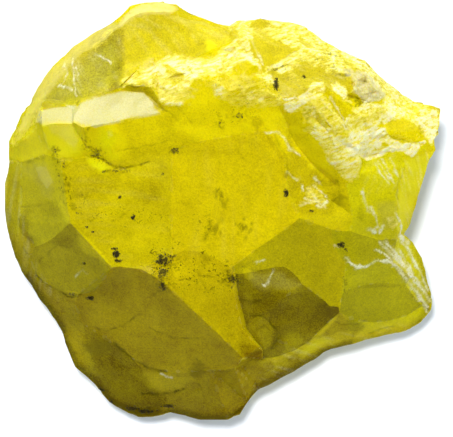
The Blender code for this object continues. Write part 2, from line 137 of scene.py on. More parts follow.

# ---------------------------------------------------------------- facets: tone, green, outline
# tone: 0 is deep olive, 1 is bright clear yellow, and it also carries painted light and shade, set facet by
# facet to lighten or darken a facet beyond what the lamps do; green: a lemon cast
FACETS = {
    "middle": (0.72, 0.15, ((172, 151), (201, 142), (265, 131), (283, 158), (287, 190), (300, 218),
        (231, 268), (171, 256))),
    "left_middle": (0.65, 0.35, ((60, 160), (97, 158), (112, 166), (124, 168), (152, 161), (172, 151),
        (171, 256), (141, 269), (121, 266), (112, 268), (71, 223))),
    "wedge": (0.56, 0.1, ((166, 285), (141, 269), (171, 256), (231, 268), (235, 274), (239, 296),
        (246, 328), (263, 350), (262, 358), (242, 358), (232, 347))),
    "dark_front": (0.42, 0.0, ((112, 268), (121, 266), (141, 269), (166, 285), (232, 347), (242, 358),
        (235, 368), (211, 371), (181, 371), (156, 371), (134, 360), (113, 343), (83, 324), (74, 303),
        (78, 295), (96, 290))),
    "dark_shoulder": (0.41, 0.5, ((71, 223), (112, 268), (96, 290), (78, 295), (60, 291), (38, 277),
        (30, 257), (36, 247))),
    "left_flank": (0.6, 0.75, ((45, 154), (60, 160), (71, 223), (36, 247), (23, 222), (22, 207),
        (22, 163))),
    "left_knob": (0.78, 0.6, ((37, 128), (45, 154), (22, 163), (10, 162), (10, 142), (19, 144))),
    "plain_right": (0.55, 0.5, ((300, 218), (331, 229), (345, 263), (342, 294), (338, 307), (330, 306),
        (320, 297), (301, 284), (281, 272), (252, 272), (235, 274), (231, 268))),
    "hollow": (0.2, 0.5, ((235, 274), (252, 272), (281, 272), (301, 284), (320, 297), (330, 306),
        (338, 307), (340, 312), (321, 330), (309, 343), (289, 355), (263, 359), (263, 350), (246, 328),
        (239, 296))),
    "block_top": (0.46, 0.9, ((345, 263), (331, 229), (351, 231), (378, 240), (396, 240), (393, 262),
        (375, 260), (358, 267))),
    "block_front": (0.56, 1.0, ((342, 294), (345, 263), (358, 267), (375, 260), (393, 262), (410, 277),
        (406, 285), (375, 283), (346, 290))),
    "block_foot": (0.44, 0.9, ((342, 294), (346, 290), (375, 283), (406, 285), (422, 306), (400, 318),
        (365, 322), (340, 312))),
    "right_face": (0.77, 0.9, ((363, 158), (400, 150), (404, 165), (398, 187), (396, 216), (396, 240),
        (378, 240), (351, 231), (352, 215), (346, 185), (359, 173))),
}
GROUND = (0.76, 0.3)                # the tone and green of what lies between the facets
SIDE = (0.62, 0.3)
SIDE_BLEND = (0.90, 1.0)            # shares of the rim's reach over which the side takes the ground's tone

# ---------------------------------------------------------------- zones: value, feather, raggedness, outline
# the tone of the ground, which also carries painted light and shade, set zone by zone to lighten or darken
# the ground beyond what the lamps do
TONE_ZONES = (
    (0.38, 6, 3, ((26, 256), (60, 286), (80, 300), (114, 340), (160, 372), (262, 362), (250, 430),
        (120, 430), (20, 320))),
    (0.52, 5, 2, ((0, 158), (22, 160), (22, 207), (24, 224), (38, 250), (32, 264), (40, 292), (20, 284),
        (0, 240))),
    (0.36, 2, 2, ((30, 262), (60, 291), (76, 303), (84, 324), (92, 356), (90, 384), (60, 352), (44, 316),
        (26, 284))),
    (0.38, 4, 2, ((92, 350), (113, 345), (134, 362), (156, 373), (230, 373), (246, 368), (264, 366),
        (290, 372), (250, 425), (120, 425), (80, 384))),
    (0.22, 16, 4, ((206, 364), (240, 366), (264, 364), (292, 370), (250, 430), (200, 430))),
    (0.19, 4, 5, ((84, 334), (110, 338), (126, 352), (138, 364), (148, 384), (168, 400), (150, 426),
        (116, 422), (90, 392), (96, 366), (86, 350))),
    (0.28, 3, 4, ((84, 338), (98, 334), (110, 340), (109, 352), (98, 358), (86, 352))),
    (0.28, 3, 5, ((113, 345), (126, 352), (140, 364), (134, 374), (122, 366), (114, 356))),
    (0.36, 3, 3, ((262, 364), (290, 357), (322, 334), (340, 314), (366, 324), (350, 345), (290, 378),
        (268, 374))),
    (0.92, 5, 3, ((176, 126), (202, 116), (230, 106), (280, 108), (296, 126), (288, 150), (266, 131),
        (200, 142))),
    (0.79, 5, 3, ((76, 122), (84, 130), (96, 127), (126, 118), (160, 113), (172, 150), (152, 162),
        (124, 168), (100, 158), (84, 148))),
    (0.46, 5, 3, ((36, 112), (48, 84), (70, 52), (104, 26), (122, 24), (124, 60), (116, 92), (96, 96),
        (78, 100), (60, 108))),
    (0.4, 5, 4, ((72, 60), (100, 48), (106, 52), (110, 66), (104, 92), (80, 96), (74, 84))),
    (0.36, 4, 4, ((104, 34), (114, 30), (122, 32), (124, 56), (112, 60), (100, 50), (96, 46))),
    (0.52, 1.5, 1.5, ((104, 94), (106, 72), (112, 58), (116, 60), (110, 76), (109, 92))),
    (0.36, 2, 2, ((110, 92), (111, 76), (118, 58), (124, 56), (124, 72), (117, 91))),
    (0.52, 2, 3, ((48, 100), (60, 104), (74, 106), (62, 110), (48, 111))),
    (0.7, 5, 4, ((126, 26), (150, 17), (190, 24), (214, 34), (222, 46), (196, 58), (156, 54), (138, 66),
        (126, 72))),
    (0.7, 3, 3, ((150, 24), (166, 26), (176, 40), (168, 50), (152, 46))),
    (0.7, 4, 3, ((200, 32), (222, 32), (224, 46), (206, 52), (196, 46))),
    (0.64, 5, 3, ((226, 14), (304, 20), (392, 82), (442, 106), (442, 130), (384, 130), (340, 84),
        (300, 98), (270, 84), (254, 60), (232, 44))),
    (0.58, 5, 4, ((272, 70), (300, 54), (330, 58), (344, 84), (330, 92), (286, 92))),
    (0.54, 2, 3, ((314, 72), (334, 70), (346, 78), (351, 90), (354, 98), (348, 100), (341, 92), (330, 84),
        (318, 82))),
    (0.68, 2, 3, ((276, 80), (300, 84), (303, 92), (292, 99), (280, 97))),
    (0.7, 1.5, 2, ((253, 30), (262, 28), (276, 40), (301, 49), (284, 60), (266, 68), (257, 56))),
    (0.62, 1.5, 2, ((324, 88), (342, 104), (353, 122), (346, 128), (334, 110))),
    (0.84, 2, 3, ((380, 92), (402, 98), (422, 112), (412, 124), (392, 118), (382, 106))),
    (0.55, 3, 2, ((118, 88), (132, 84), (146, 85), (158, 98), (164, 112), (156, 110), (144, 91),
        (124, 90))),
    (0.84, 5, 4, ((188, 84), (206, 82), (214, 100), (240, 108), (214, 118), (196, 128), (176, 116),
        (184, 108))),
    (0.8, 4, 3, ((300, 106), (312, 104), (318, 118), (308, 126), (298, 120))),
    (0.54, 4, 3, ((288, 130), (310, 134), (334, 176), (342, 196), (330, 214), (300, 216), (288, 190))),
    (0.84, 3, 3, ((376, 128), (392, 121), (404, 119), (418, 127), (426, 137), (414, 143), (402, 145),
        (388, 137))),
    (0.76, 4, 3, ((400, 160), (434, 148), (428, 180), (404, 236), (396, 240))),
    (0.98, 3, 2, ((44, 124), (72, 123), (82, 128), (90, 148), (84, 158), (60, 160), (48, 150))),
)
# added to the tone of whatever lies there: crisp planes inside the crystals, mixed with painted light and
# painted shade on patches that the lamps leave too dark or too light
SHADE_ZONES = (
    (-0.07, 1.5, 2, ((72, 178), (92, 176), (112, 170), (122, 174), (118, 186), (119, 190), (92, 196),
        (74, 194))),
    (-0.05, 2, 3, ((122, 184), (160, 186), (162, 198), (146, 204), (130, 196))),
    (-0.06, 1.5, 3, ((149, 182), (160, 184), (162, 198), (150, 200))),
    (0.07, 1.5, 2, ((128, 168), (150, 164), (160, 166), (152, 180), (124, 182), (120, 176))),
    (0.06, 2, 3, ((100, 206), (128, 204), (150, 208), (148, 246), (118, 250), (96, 232))),
    (0.05, 2, 3, ((70, 200), (96, 197), (120, 193), (132, 198), (100, 212), (84, 214))),
    (-0.1, 1, 1.5, ((73, 227), (83, 228), (84, 236), (75, 238))),
    (-0.08, 1, 1, ((70, 224), (72, 238), (58, 246), (40, 246), (54, 238), (62, 228))),
    (0.07, 1, 1, ((40, 246), (58, 232), (52, 246), (46, 258), (38, 254))),
    (0.05, 1.5, 2, ((26, 184), (56, 184), (60, 200), (24, 206))),
    (-0.05, 2, 3, ((24, 208), (62, 206), (66, 222), (40, 244), (30, 240))),
    (-0.05, 3, 3, ((8, 170), (30, 176), (44, 196), (60, 200), (60, 212), (40, 216), (22, 212), (8, 210))),
    (-0.26, 2.5, 2, ((21, 214), (27, 214), (29, 230), (36, 245), (28, 240), (22, 228))),
    (0.09, 6, 3, ((172, 258), (232, 268), (234, 296), (200, 306), (174, 290))),
    (-0.1, 2, 2, ((234, 292), (243, 296), (250, 326), (264, 348), (262, 359), (246, 362), (240, 344),
        (237, 320))),
    (-0.22, 3, 2, ((238, 344), (262, 346), (264, 360), (240, 364))),
    (-0.05, 5, 2, ((222, 318), (246, 330), (262, 346), (250, 356), (234, 350))),
    (0.08, 2, 2, ((170, 262), (184, 260), (188, 274), (176, 278))),
    (-0.05, 2, 3, ((104, 280), (126, 282), (134, 292), (120, 297), (98, 296))),
    (0.05, 4, 4, ((92, 306), (140, 300), (190, 330), (212, 346), (150, 352), (108, 334))),
    (-0.09, 1.5, 1.5, ((75, 302), (82, 304), (92, 326), (106, 332), (88, 338), (82, 322))),
    (-0.04, 3, 3, ((140, 272), (160, 284), (178, 300), (160, 304), (140, 290))),
    # painted shadow under a facet's lower edge
    (-0.08, 2, 1.5, ((112, 345), (119, 348), (132, 361), (142, 367), (126, 370), (110, 366))),
    (0.12, 1.5, 2, ((140, 372), (158, 374), (196, 379), (176, 390), (158, 392), (146, 386), (128, 372))),
    (-0.08, 3, 3, ((108, 398), (126, 396), (160, 404), (158, 416), (128, 416))),
    (0.06, 3, 3, ((196, 380), (240, 372), (258, 372), (246, 398), (214, 408), (196, 396))),
    (0.07, 1.5, 2, ((62, 300), (74, 304), (82, 326), (86, 346), (96, 366), (84, 366), (66, 334))),
    (0.1, 2, 3, ((250, 273), (281, 273), (300, 285), (294, 292), (262, 288), (250, 284))),
    (-0.1, 3, 3, ((252, 294), (300, 292), (326, 304), (336, 312), (322, 328), (300, 326), (276, 316),
        (256, 306))),
    (0.13, 1.5, 2, ((250, 322), (260, 315), (270, 323), (274, 334), (270, 345), (262, 350), (255, 340),
        (244, 328))),
    (0.12, 1.5, 2, ((283, 337), (289, 331), (299, 333), (304, 342), (297, 352), (284, 354))),
    (0.13, 1.5, 2, ((243, 293), (252, 290), (262, 292), (262, 299), (248, 299))),
    (0.26, 1.5, 1, ((242, 268), (250, 267), (254, 277), (248, 281), (244, 276))),
    (-0.12, 1.5, 1, ((330, 306), (338, 306), (341, 313), (332, 320), (326, 314))),
    (-0.2, 2, 2, ((243, 352), (262, 350), (262, 359), (246, 361))),
    (-0.14, 2, 2, ((234, 362), (262, 359), (256, 368), (240, 371))),
    (0.2, 1.5, 2, ((298, 356), (314, 341), (328, 335), (350, 330), (353, 337), (332, 346), (312, 355),
        (302, 361))),
    (0.14, 1.5, 2, ((270, 361), (287, 359), (290, 366), (276, 370))),
    (-0.1, 2, 2, ((275, 374), (284, 368), (286, 374), (279, 382))),
    (-0.07, 2, 2, ((344, 312), (352, 309), (362, 317), (350, 323))),
    (0.05, 3, 3, ((352, 292), (400, 288), (410, 300), (392, 308), (360, 308))),
    (-0.1, 1.5, 2, ((376, 200), (384, 195), (398, 206), (398, 222), (386, 228), (378, 216))),
    (-0.18, 1.5, 1, ((357, 207), (362, 204), (365, 212), (362, 221), (358, 218))),
    (0.06, 1.5, 2, ((364, 168), (384, 162), (398, 172), (394, 190), (372, 192))),
    (-0.06, 1.5, 2, ((352, 216), (372, 222), (380, 236), (352, 230))),
    (-0.26, 1.5, 1, ((250, 118), (258, 115), (263, 120), (262, 127), (257, 130), (252, 124))),
    (-0.14, 1.5, 1.5, ((266, 133), (276, 140), (286, 157), (288, 182), (282, 176), (278, 156),
        (268, 144))),
    # painted glow on two small spots
    (0.16, 3, 3, ((99, 130), (114, 129), (117, 139), (108, 148), (99, 144))),
    (0.2, 2.5, 3, ((91, 160), (104, 159), (113, 166), (109, 174), (98, 171))),
    (-0.12, 2, 2, ((56, 241), (66, 236), (74, 240), (72, 247), (60, 248))),
    (-0.06, 2, 2, ((70, 224), (76, 222), (78, 236), (72, 236))),
    (-0.07, 3, 3, ((24, 186), (56, 186), (62, 216), (50, 222), (26, 212))),
    # painted light on two faces that fall away from the key
    (0.28, 8, 3, ((80, 128), (112, 126), (126, 140), (128, 162), (108, 164), (90, 158), (82, 142))),
    (0.4, 3, 3, ((288, 128), (302, 126), (318, 144), (332, 168), (334, 180), (324, 180), (308, 164),
        (294, 148))),
    (0.14, 3, 3, ((26, 132), (44, 130), (52, 156), (56, 180), (44, 184), (34, 160))),
    # painted light along two facet edges that the lamps leave dim
    (0.2, 2, 1.5, ((74, 226), (92, 242), (112, 266), (104, 264), (98, 258), (84, 253), (77, 241))),
    (0.08, 1, 1.5, ((170, 287), (190, 299), (212, 323), (230, 345), (220, 340), (200, 322), (182, 304))),
    (-0.1, 4, 3, ((214, 80), (250, 78), (258, 88), (240, 92), (216, 90))),
    (-0.06, 2, 2, ((124, 152), (150, 147), (164, 144), (166, 156), (150, 160), (128, 165), (112, 160))),
    (0.06, 2, 2, ((104, 128), (150, 118), (160, 118), (162, 136), (128, 146), (112, 150))),
    (-0.1, 1.5, 2, ((384, 134), (398, 136), (414, 142), (402, 145), (390, 139))),
)
# the green of the ground
GREEN_ZONES = (
    (0.9, 8, 4, ((352, 196), (362, 150), (440, 146), (440, 320), (350, 330), (340, 262), (348, 224))),
    (0.45, 3, 3, ((400, 158), (436, 146), (432, 180), (404, 236), (397, 238))),
    (0.4, 8, 4, ((318, 180), (352, 196), (348, 224), (326, 224))),
    (0.8, 8, 5, ((40, 100), (116, 30), (124, 84), (70, 110))),
    (0.6, 6, 5, ((0, 100), (40, 100), (60, 160), (24, 230), (0, 240))),
    (0.1, 6, 4, ((40, 280), (90, 310), (130, 360), (262, 366), (250, 430), (80, 430), (40, 340))),
    (0.32, 4, 4, ((84, 332), (110, 338), (128, 352), (150, 382), (168, 400), (150, 426), (114, 424),
        (88, 392))),
)
# white bruised sulfur, on the hackly ledge and beside it; in places it is also raised as painted light on
# broken ground that faces away from the lamps
FROST_AND_LIGHT_ZONES = (
    (0.58, 2, 5, ((122, 88), (124, 80), (134, 74), (146, 68), (158, 60), (176, 54), (192, 58), (206, 62),
        (218, 54), (230, 45), (238, 38), (248, 38), (252, 58), (257, 67), (248, 73), (236, 66), (224, 66),
        (212, 72), (204, 80), (196, 80), (188, 88), (190, 100), (180, 107), (168, 106), (160, 98),
        (154, 88), (146, 83), (134, 84))),
    (0.88, 3, 5, ((154, 68), (164, 61), (182, 61), (204, 65), (220, 56), (234, 47), (236, 56), (224, 63),
        (208, 70), (196, 79), (178, 74), (160, 76), (146, 74))),
    (0.55, 2, 5, ((158, 86), (176, 84), (187, 87), (190, 98), (180, 105), (168, 104), (160, 97))),
    (0.2, 1.5, 4, ((163, 64), (172, 66), (176, 72), (186, 76), (182, 84), (172, 84), (168, 76))),
    (0.72, 2, 4, ((228, 48), (236, 38), (248, 38), (254, 56), (262, 70), (272, 76), (276, 84), (262, 82),
        (250, 74), (236, 62), (230, 60))),
    (0.75, 2, 4, ((212, 60), (224, 56), (234, 62), (232, 72), (220, 78), (208, 76))),
    (0.02, 1.5, 3, ((235, 64), (246, 62), (256, 66), (258, 72), (246, 75), (238, 71))),
    (0.28, 3, 6, ((204, 82), (222, 74), (250, 75), (264, 84), (280, 92), (284, 104), (262, 110),
        (232, 106), (216, 98))),
    (0.6, 1.5, 3, ((213, 87), (222, 86), (228, 93), (220, 97), (212, 93))),
    (0.48, 2, 5, ((244, 92), (262, 90), (280, 96), (280, 106), (262, 104), (248, 100))),
    (0.5, 2, 6, ((226, 24), (250, 14), (304, 20), (322, 42), (342, 54), (350, 68), (340, 74), (322, 70),
        (306, 62), (284, 74), (270, 72), (262, 62), (252, 38), (238, 34))),
    (0.0, 1, 1.5, ((254, 31), (262, 29), (276, 40), (290, 47), (301, 49), (284, 59), (272, 66), (264, 67),
        (258, 56), (253, 42))),
    (0.62, 1, 1.5, ((301, 49), (305, 53), (290, 62), (277, 70), (266, 73), (263, 69), (272, 66),
        (284, 60))),
    (0.0, 1.5, 2, ((301, 33), (308, 35), (315, 44), (313, 48), (304, 45), (300, 40))),
    (0.0, 2, 3, ((251, 21), (261, 18), (267, 24), (258, 29), (250, 27))),
    (0.22, 2, 4, ((284, 76), (292, 73), (300, 78), (300, 86), (290, 84))),
    # frost raised here also as painted light, on broken ground that faces away from the lamps
    (0.76, 1.5, 3, ((283, 103), (296, 101), (303, 92), (312, 84), (322, 83), (326, 92), (318, 98),
        (306, 106), (300, 111), (284, 112))),
    (0.45, 2, 4, ((300, 106), (308, 104), (322, 120), (330, 132), (318, 128), (304, 122))),
    (0.45, 2, 4, ((304, 101), (318, 96), (328, 98), (346, 128), (350, 134), (336, 134), (324, 120),
        (312, 112))),
    (0.0, 1.5, 2, ((324, 89), (330, 92), (342, 106), (353, 122), (346, 127), (336, 112), (326, 98))),
    (0.8, 1.5, 4, ((328, 85), (338, 82), (346, 89), (351, 102), (343, 101), (335, 92))),
    (0.62, 2, 5, ((304, 131), (316, 123), (328, 124), (340, 134), (352, 136), (360, 152), (361, 170),
        (352, 183), (338, 175), (330, 164), (324, 150), (316, 141))),
    (0.58, 1, 9, ((350, 106), (372, 102), (384, 110), (384, 122), (372, 130), (356, 134), (346, 126))),
    (1.0, 1.5, 4, ((350, 131), (362, 126), (372, 124), (384, 128), (384, 138), (376, 150), (364, 158),
        (354, 158), (347, 146))),
    (0.72, 3, 6, ((384, 95), (400, 99), (424, 104), (438, 112), (441, 128), (434, 144), (424, 138),
        (422, 126), (404, 118), (392, 121), (384, 108))),
    (0.7, 1.5, 3, ((380, 110), (392, 108), (398, 116), (394, 121), (384, 124), (378, 118))),
    (0.46, 2, 3, ((403, 107), (416, 108), (421, 116), (412, 123), (402, 117))),
    (0.85, 2, 4, ((421, 108), (434, 112), (441, 124), (437, 139), (429, 141), (421, 126))),
    (0.14, 1.5, 3, ((380, 130), (390, 123), (404, 121), (418, 128), (424, 136), (414, 143), (400, 144),
        (388, 139))),
    (1.0, 1, 2, ((361, 146), (374, 148), (388, 146), (382, 138), (378, 128), (384, 127), (390, 138),
        (402, 144), (416, 142), (427, 141), (420, 150), (412, 158), (402, 152), (388, 153), (376, 158),
        (366, 162), (361, 157))),
    (0.6, 2, 4, ((300, 20), (324, 32), (346, 46), (362, 56), (392, 82), (406, 94), (424, 100), (410, 106),
        (396, 104), (380, 92), (362, 74), (344, 61), (322, 50), (304, 38))),
    (0.34, 1.5, 6, ((90, 44), (104, 28), (116, 26), (112, 34), (102, 42), (96, 50))),
    (0.34, 2, 4, ((10, 140), (18, 128), (30, 116), (42, 106), (46, 114), (36, 124), (24, 138), (14, 146))),
    (0.28, 1.5, 4, ((304, 188), (316, 182), (324, 196), (326, 204), (312, 204), (304, 198))),
    (0.4, 1.5, 3, ((386, 217), (394, 215), (398, 224), (392, 230), (386, 226))),
)
# a smooth cream skin, also used as a painted highlight on crests and rims and as painted light on faces that
# the lamps leave dim
CREAM_AND_SHEEN_ZONES = (
    (0.62, 1.5, 1.5, ((112, 28), (124, 14), (142, 3), (166, 0), (178, 8), (170, 13), (150, 14), (134, 18),
        (122, 25))),
    (0.2, 1.5, 3, ((174, 8), (182, 18), (200, 20), (214, 24), (232, 24), (232, 29), (206, 28), (186, 23),
        (178, 22))),
    (0.0, 1.5, 2, ((180, 12), (186, 11), (190, 15), (186, 18), (180, 17))),
    (0.14, 3, 5, ((122, 26), (134, 19), (152, 17), (158, 24), (140, 30), (130, 44), (124, 40))),
    (0.34, 4, 4, ((18, 132), (40, 78), (66, 46), (98, 26), (116, 20), (118, 28), (100, 40), (76, 56),
        (56, 84), (38, 112), (28, 130))),
    (0.08, 3, 6, ((60, 96), (64, 70), (76, 56), (98, 40), (104, 46), (84, 60), (74, 78), (72, 96))),
    (0.16, 3, 4, ((40, 108), (50, 96), (60, 88), (70, 92), (62, 104), (46, 112))),
    (0.26, 3, 3, ((34, 164), (47, 166), (54, 182), (49, 190), (38, 180))),
    # painted light on a front face that the lamps leave dim
    (0.28, 5, 3, ((46, 124), (72, 123), (80, 140), (76, 152), (62, 140), (52, 134))),
    # painted light on the strip down the right side, which faces away from the key
    (0.14, 2, 4, ((402, 162), (430, 150), (436, 156), (426, 182), (406, 234), (398, 232), (398, 190))),
    (0.2, 2, 4, ((392, 244), (404, 262), (420, 286), (428, 306), (422, 304), (408, 284), (392, 262),
        (384, 250))),
)
# knobbly grey-yellow crust
CRUST_ZONES = (
    (0.62, 1.5, 4, ((352, 78), (356, 72), (368, 76), (378, 84), (384, 96), (376, 101), (362, 101),
        (354, 92))),
    (0.55, 1.5, 2, ((342, 70), (350, 68), (356, 76), (346, 78))),
    (0.75, 1.5, 2, ((366, 96), (372, 94), (384, 92), (384, 98), (374, 102), (364, 103))),
)
# dirt in fine specks
PEPPER_ZONES = (
    (0.9, 6, 6, ((150, 244), (170, 238), (200, 248), (240, 262), (252, 282), (236, 294), (200, 292),
        (168, 292), (144, 270))),
    (0.6, 8, 6, ((66, 196), (92, 200), (140, 206), (180, 216), (216, 206), (214, 236), (150, 232),
        (80, 222))),
    (0.9, 5, 4, ((48, 146), (58, 150), (78, 200), (70, 208), (56, 180))),
    (0.7, 5, 5, ((84, 144), (100, 150), (110, 164), (104, 172), (90, 156))),
    (0.5, 6, 5, ((196, 112), (240, 100), (262, 110), (250, 124), (206, 130))),
    (0.5, 6, 5, ((204, 82), (250, 74), (284, 92), (280, 108), (232, 106))),
    (0.5, 5, 5, ((270, 66), (334, 50), (342, 84), (290, 92))),
    (0.5, 6, 5, ((130, 390), (200, 376), (214, 404), (150, 410))),
    (0.4, 5, 5, ((240, 290), (320, 300), (300, 350), (250, 350))),
)
# dirt as a film
SMOKE_ZONES = (
    (0.3, 2, 2, ((86, 342), (108, 339), (111, 350), (96, 357), (86, 351))),
    (0.12, 8, 5, ((94, 360), (130, 370), (150, 388), (170, 412), (124, 410), (98, 392))),
    (0.4, 3, 2, ((190, 366), (202, 360), (206, 372), (196, 378), (189, 374))),
)
# painted light: bright patches that stand for light coming back out of the crystal
PAINTED_GLOW_ZONES = (
    (0.6, 4, 3, ((46, 126), (72, 125), (80, 132), (86, 148), (80, 156), (62, 158), (50, 148))),
    (0.6, 3, 2, ((404, 160), (428, 152), (434, 156), (424, 180), (404, 236), (398, 230), (399, 190))),
    (0.7, 7, 3, ((100, 130), (112, 130), (117, 142), (108, 150), (100, 146))),
    (0.95, 3, 3, ((88, 158), (100, 160), (110, 168), (104, 174), (92, 168))),
    (0.4, 4, 3, ((104, 148), (120, 152), (120, 160), (110, 160))),
    (0.8, 2, 2, ((206, 41), (213, 42), (217, 47), (213, 53), (206, 51))),
    (0.4, 4, 2, ((298, 352), (322, 338), (330, 342), (306, 356))),
)
# a dull surface
MATT_ZONES = (
    (0.8, 4, 2, ((232, 18), (300, 18), (352, 50), (352, 84), (300, 98), (270, 84), (254, 60), (236, 44))),
    (0.8, 4, 2, ((40, 98), (66, 50), (110, 22), (126, 30), (124, 84), (100, 94), (70, 104))),
    (0.7, 4, 2, ((126, 20), (160, 12), (222, 30), (232, 40), (190, 58), (150, 58), (126, 70))),
    (0.7, 4, 2, ((384, 92), (440, 104), (440, 130), (384, 130))),
)
# faces greyed by a thin bloom, and a painted highlight on the two roof facets
HAZE_AND_SHEEN_ZONES = (
    # painted highlight: the two roof facets are painted pale cream
    (1.0, 0.7, 0.7, ((80, 104), (92, 99), (122, 92), (144, 93), (153, 103), (154, 108), (160, 114),
        (126, 119), (96, 128), (76, 122), (74, 113))),
    (1.0, 1, 2, ((40, 112), (50, 109), (75, 105), (77, 113), (73, 123), (56, 124), (46, 126), (37, 122))),
    (0.06, 6, 6, ((60, 96), (74, 70), (88, 52), (112, 44), (112, 70), (104, 92), (80, 98))),
    (0.08, 4, 6, ((24, 165), (44, 164), (54, 190), (48, 198), (36, 182), (24, 174))),
    (0.08, 6, 4, ((46, 124), (72, 124), (80, 150), (62, 158), (50, 146))),
    (0.55, 1.5, 1, ((108, 132), (111, 131), (112, 136), (109, 138))),
    (0.12, 4, 5, ((250, 273), (281, 273), (300, 285), (290, 290), (254, 286))),
    (0.1, 3, 4, ((376, 204), (396, 200), (398, 226), (384, 230))),
)
# strength, feather, raggedness, direction in degrees, spacing in mm, outline
STRIPE_ZONES = (
    (0.8, 2, 2, 22, 0.4, ((124, 84), (142, 62), (176, 54), (216, 56), (240, 38), (252, 58), (204, 80),
        (190, 104), (160, 98), (146, 83))),
    (0.7, 2, 2, 20, 0.45, ((276, 66), (304, 52), (332, 58), (346, 80), (300, 84))),
    (0.8, 1, 2, 118, 0.5, ((304, 101), (322, 98), (348, 132), (336, 134), (312, 112))),
    (0.6, 3, 3, 60, 0.45, ((64, 60), (84, 50), (84, 96), (66, 96))),
    (1.0, 2, 2, 74, 0.45, ((404, 160), (428, 152), (434, 156), (424, 180), (404, 236), (396, 240),
        (397, 190))),
    (0.8, 3, 3, 125, 0.4, ((398, 232), (412, 252), (430, 290), (430, 308), (420, 306), (404, 284),
        (386, 250))),
    (0.5, 4, 4, 32, 0.55, ((268, 74), (300, 58), (334, 56), (342, 70), (340, 90), (300, 96), (272, 88))),
    (0.5, 4, 4, 118, 0.5, ((304, 98), (332, 96), (350, 134), (336, 136))),
    (0.5, 4, 4, 28, 0.6, ((118, 22), (160, 8), (220, 30), (300, 24), (330, 50), (250, 44), (200, 36),
        (134, 34))),
    (0.5, 4, 4, 62, 0.6, ((70, 70), (104, 36), (124, 36), (120, 92), (76, 100))),
    (0.4, 4, 4, 55, 0.8, ((128, 30), (160, 22), (200, 36), (190, 56), (130, 72))),
    (0.5, 3, 3, 95, 0.6, ((2, 166), (20, 166), (22, 210), (36, 262), (60, 300), (30, 280), (6, 230))),
    (0.4, 3, 3, 120, 0.6, ((362, 160), (396, 154), (398, 190), (364, 196))),
    (0.3, 3, 3, 20, 0.55, ((250, 400), (262, 366), (320, 336), (410, 322), (420, 322), (350, 346),
        (290, 378))),
    (0.06, 6, 4, 90, 1.2, ((176, 154), (262, 134), (280, 160), (290, 210), (232, 260), (176, 252))),
    (0.09, 6, 4, 3, 1.0, ((74, 166), (168, 158), (168, 250), (120, 262), (76, 220))),
)
FINE_STRIPES = 6                    # the first of the stripe zones need a fine mesh

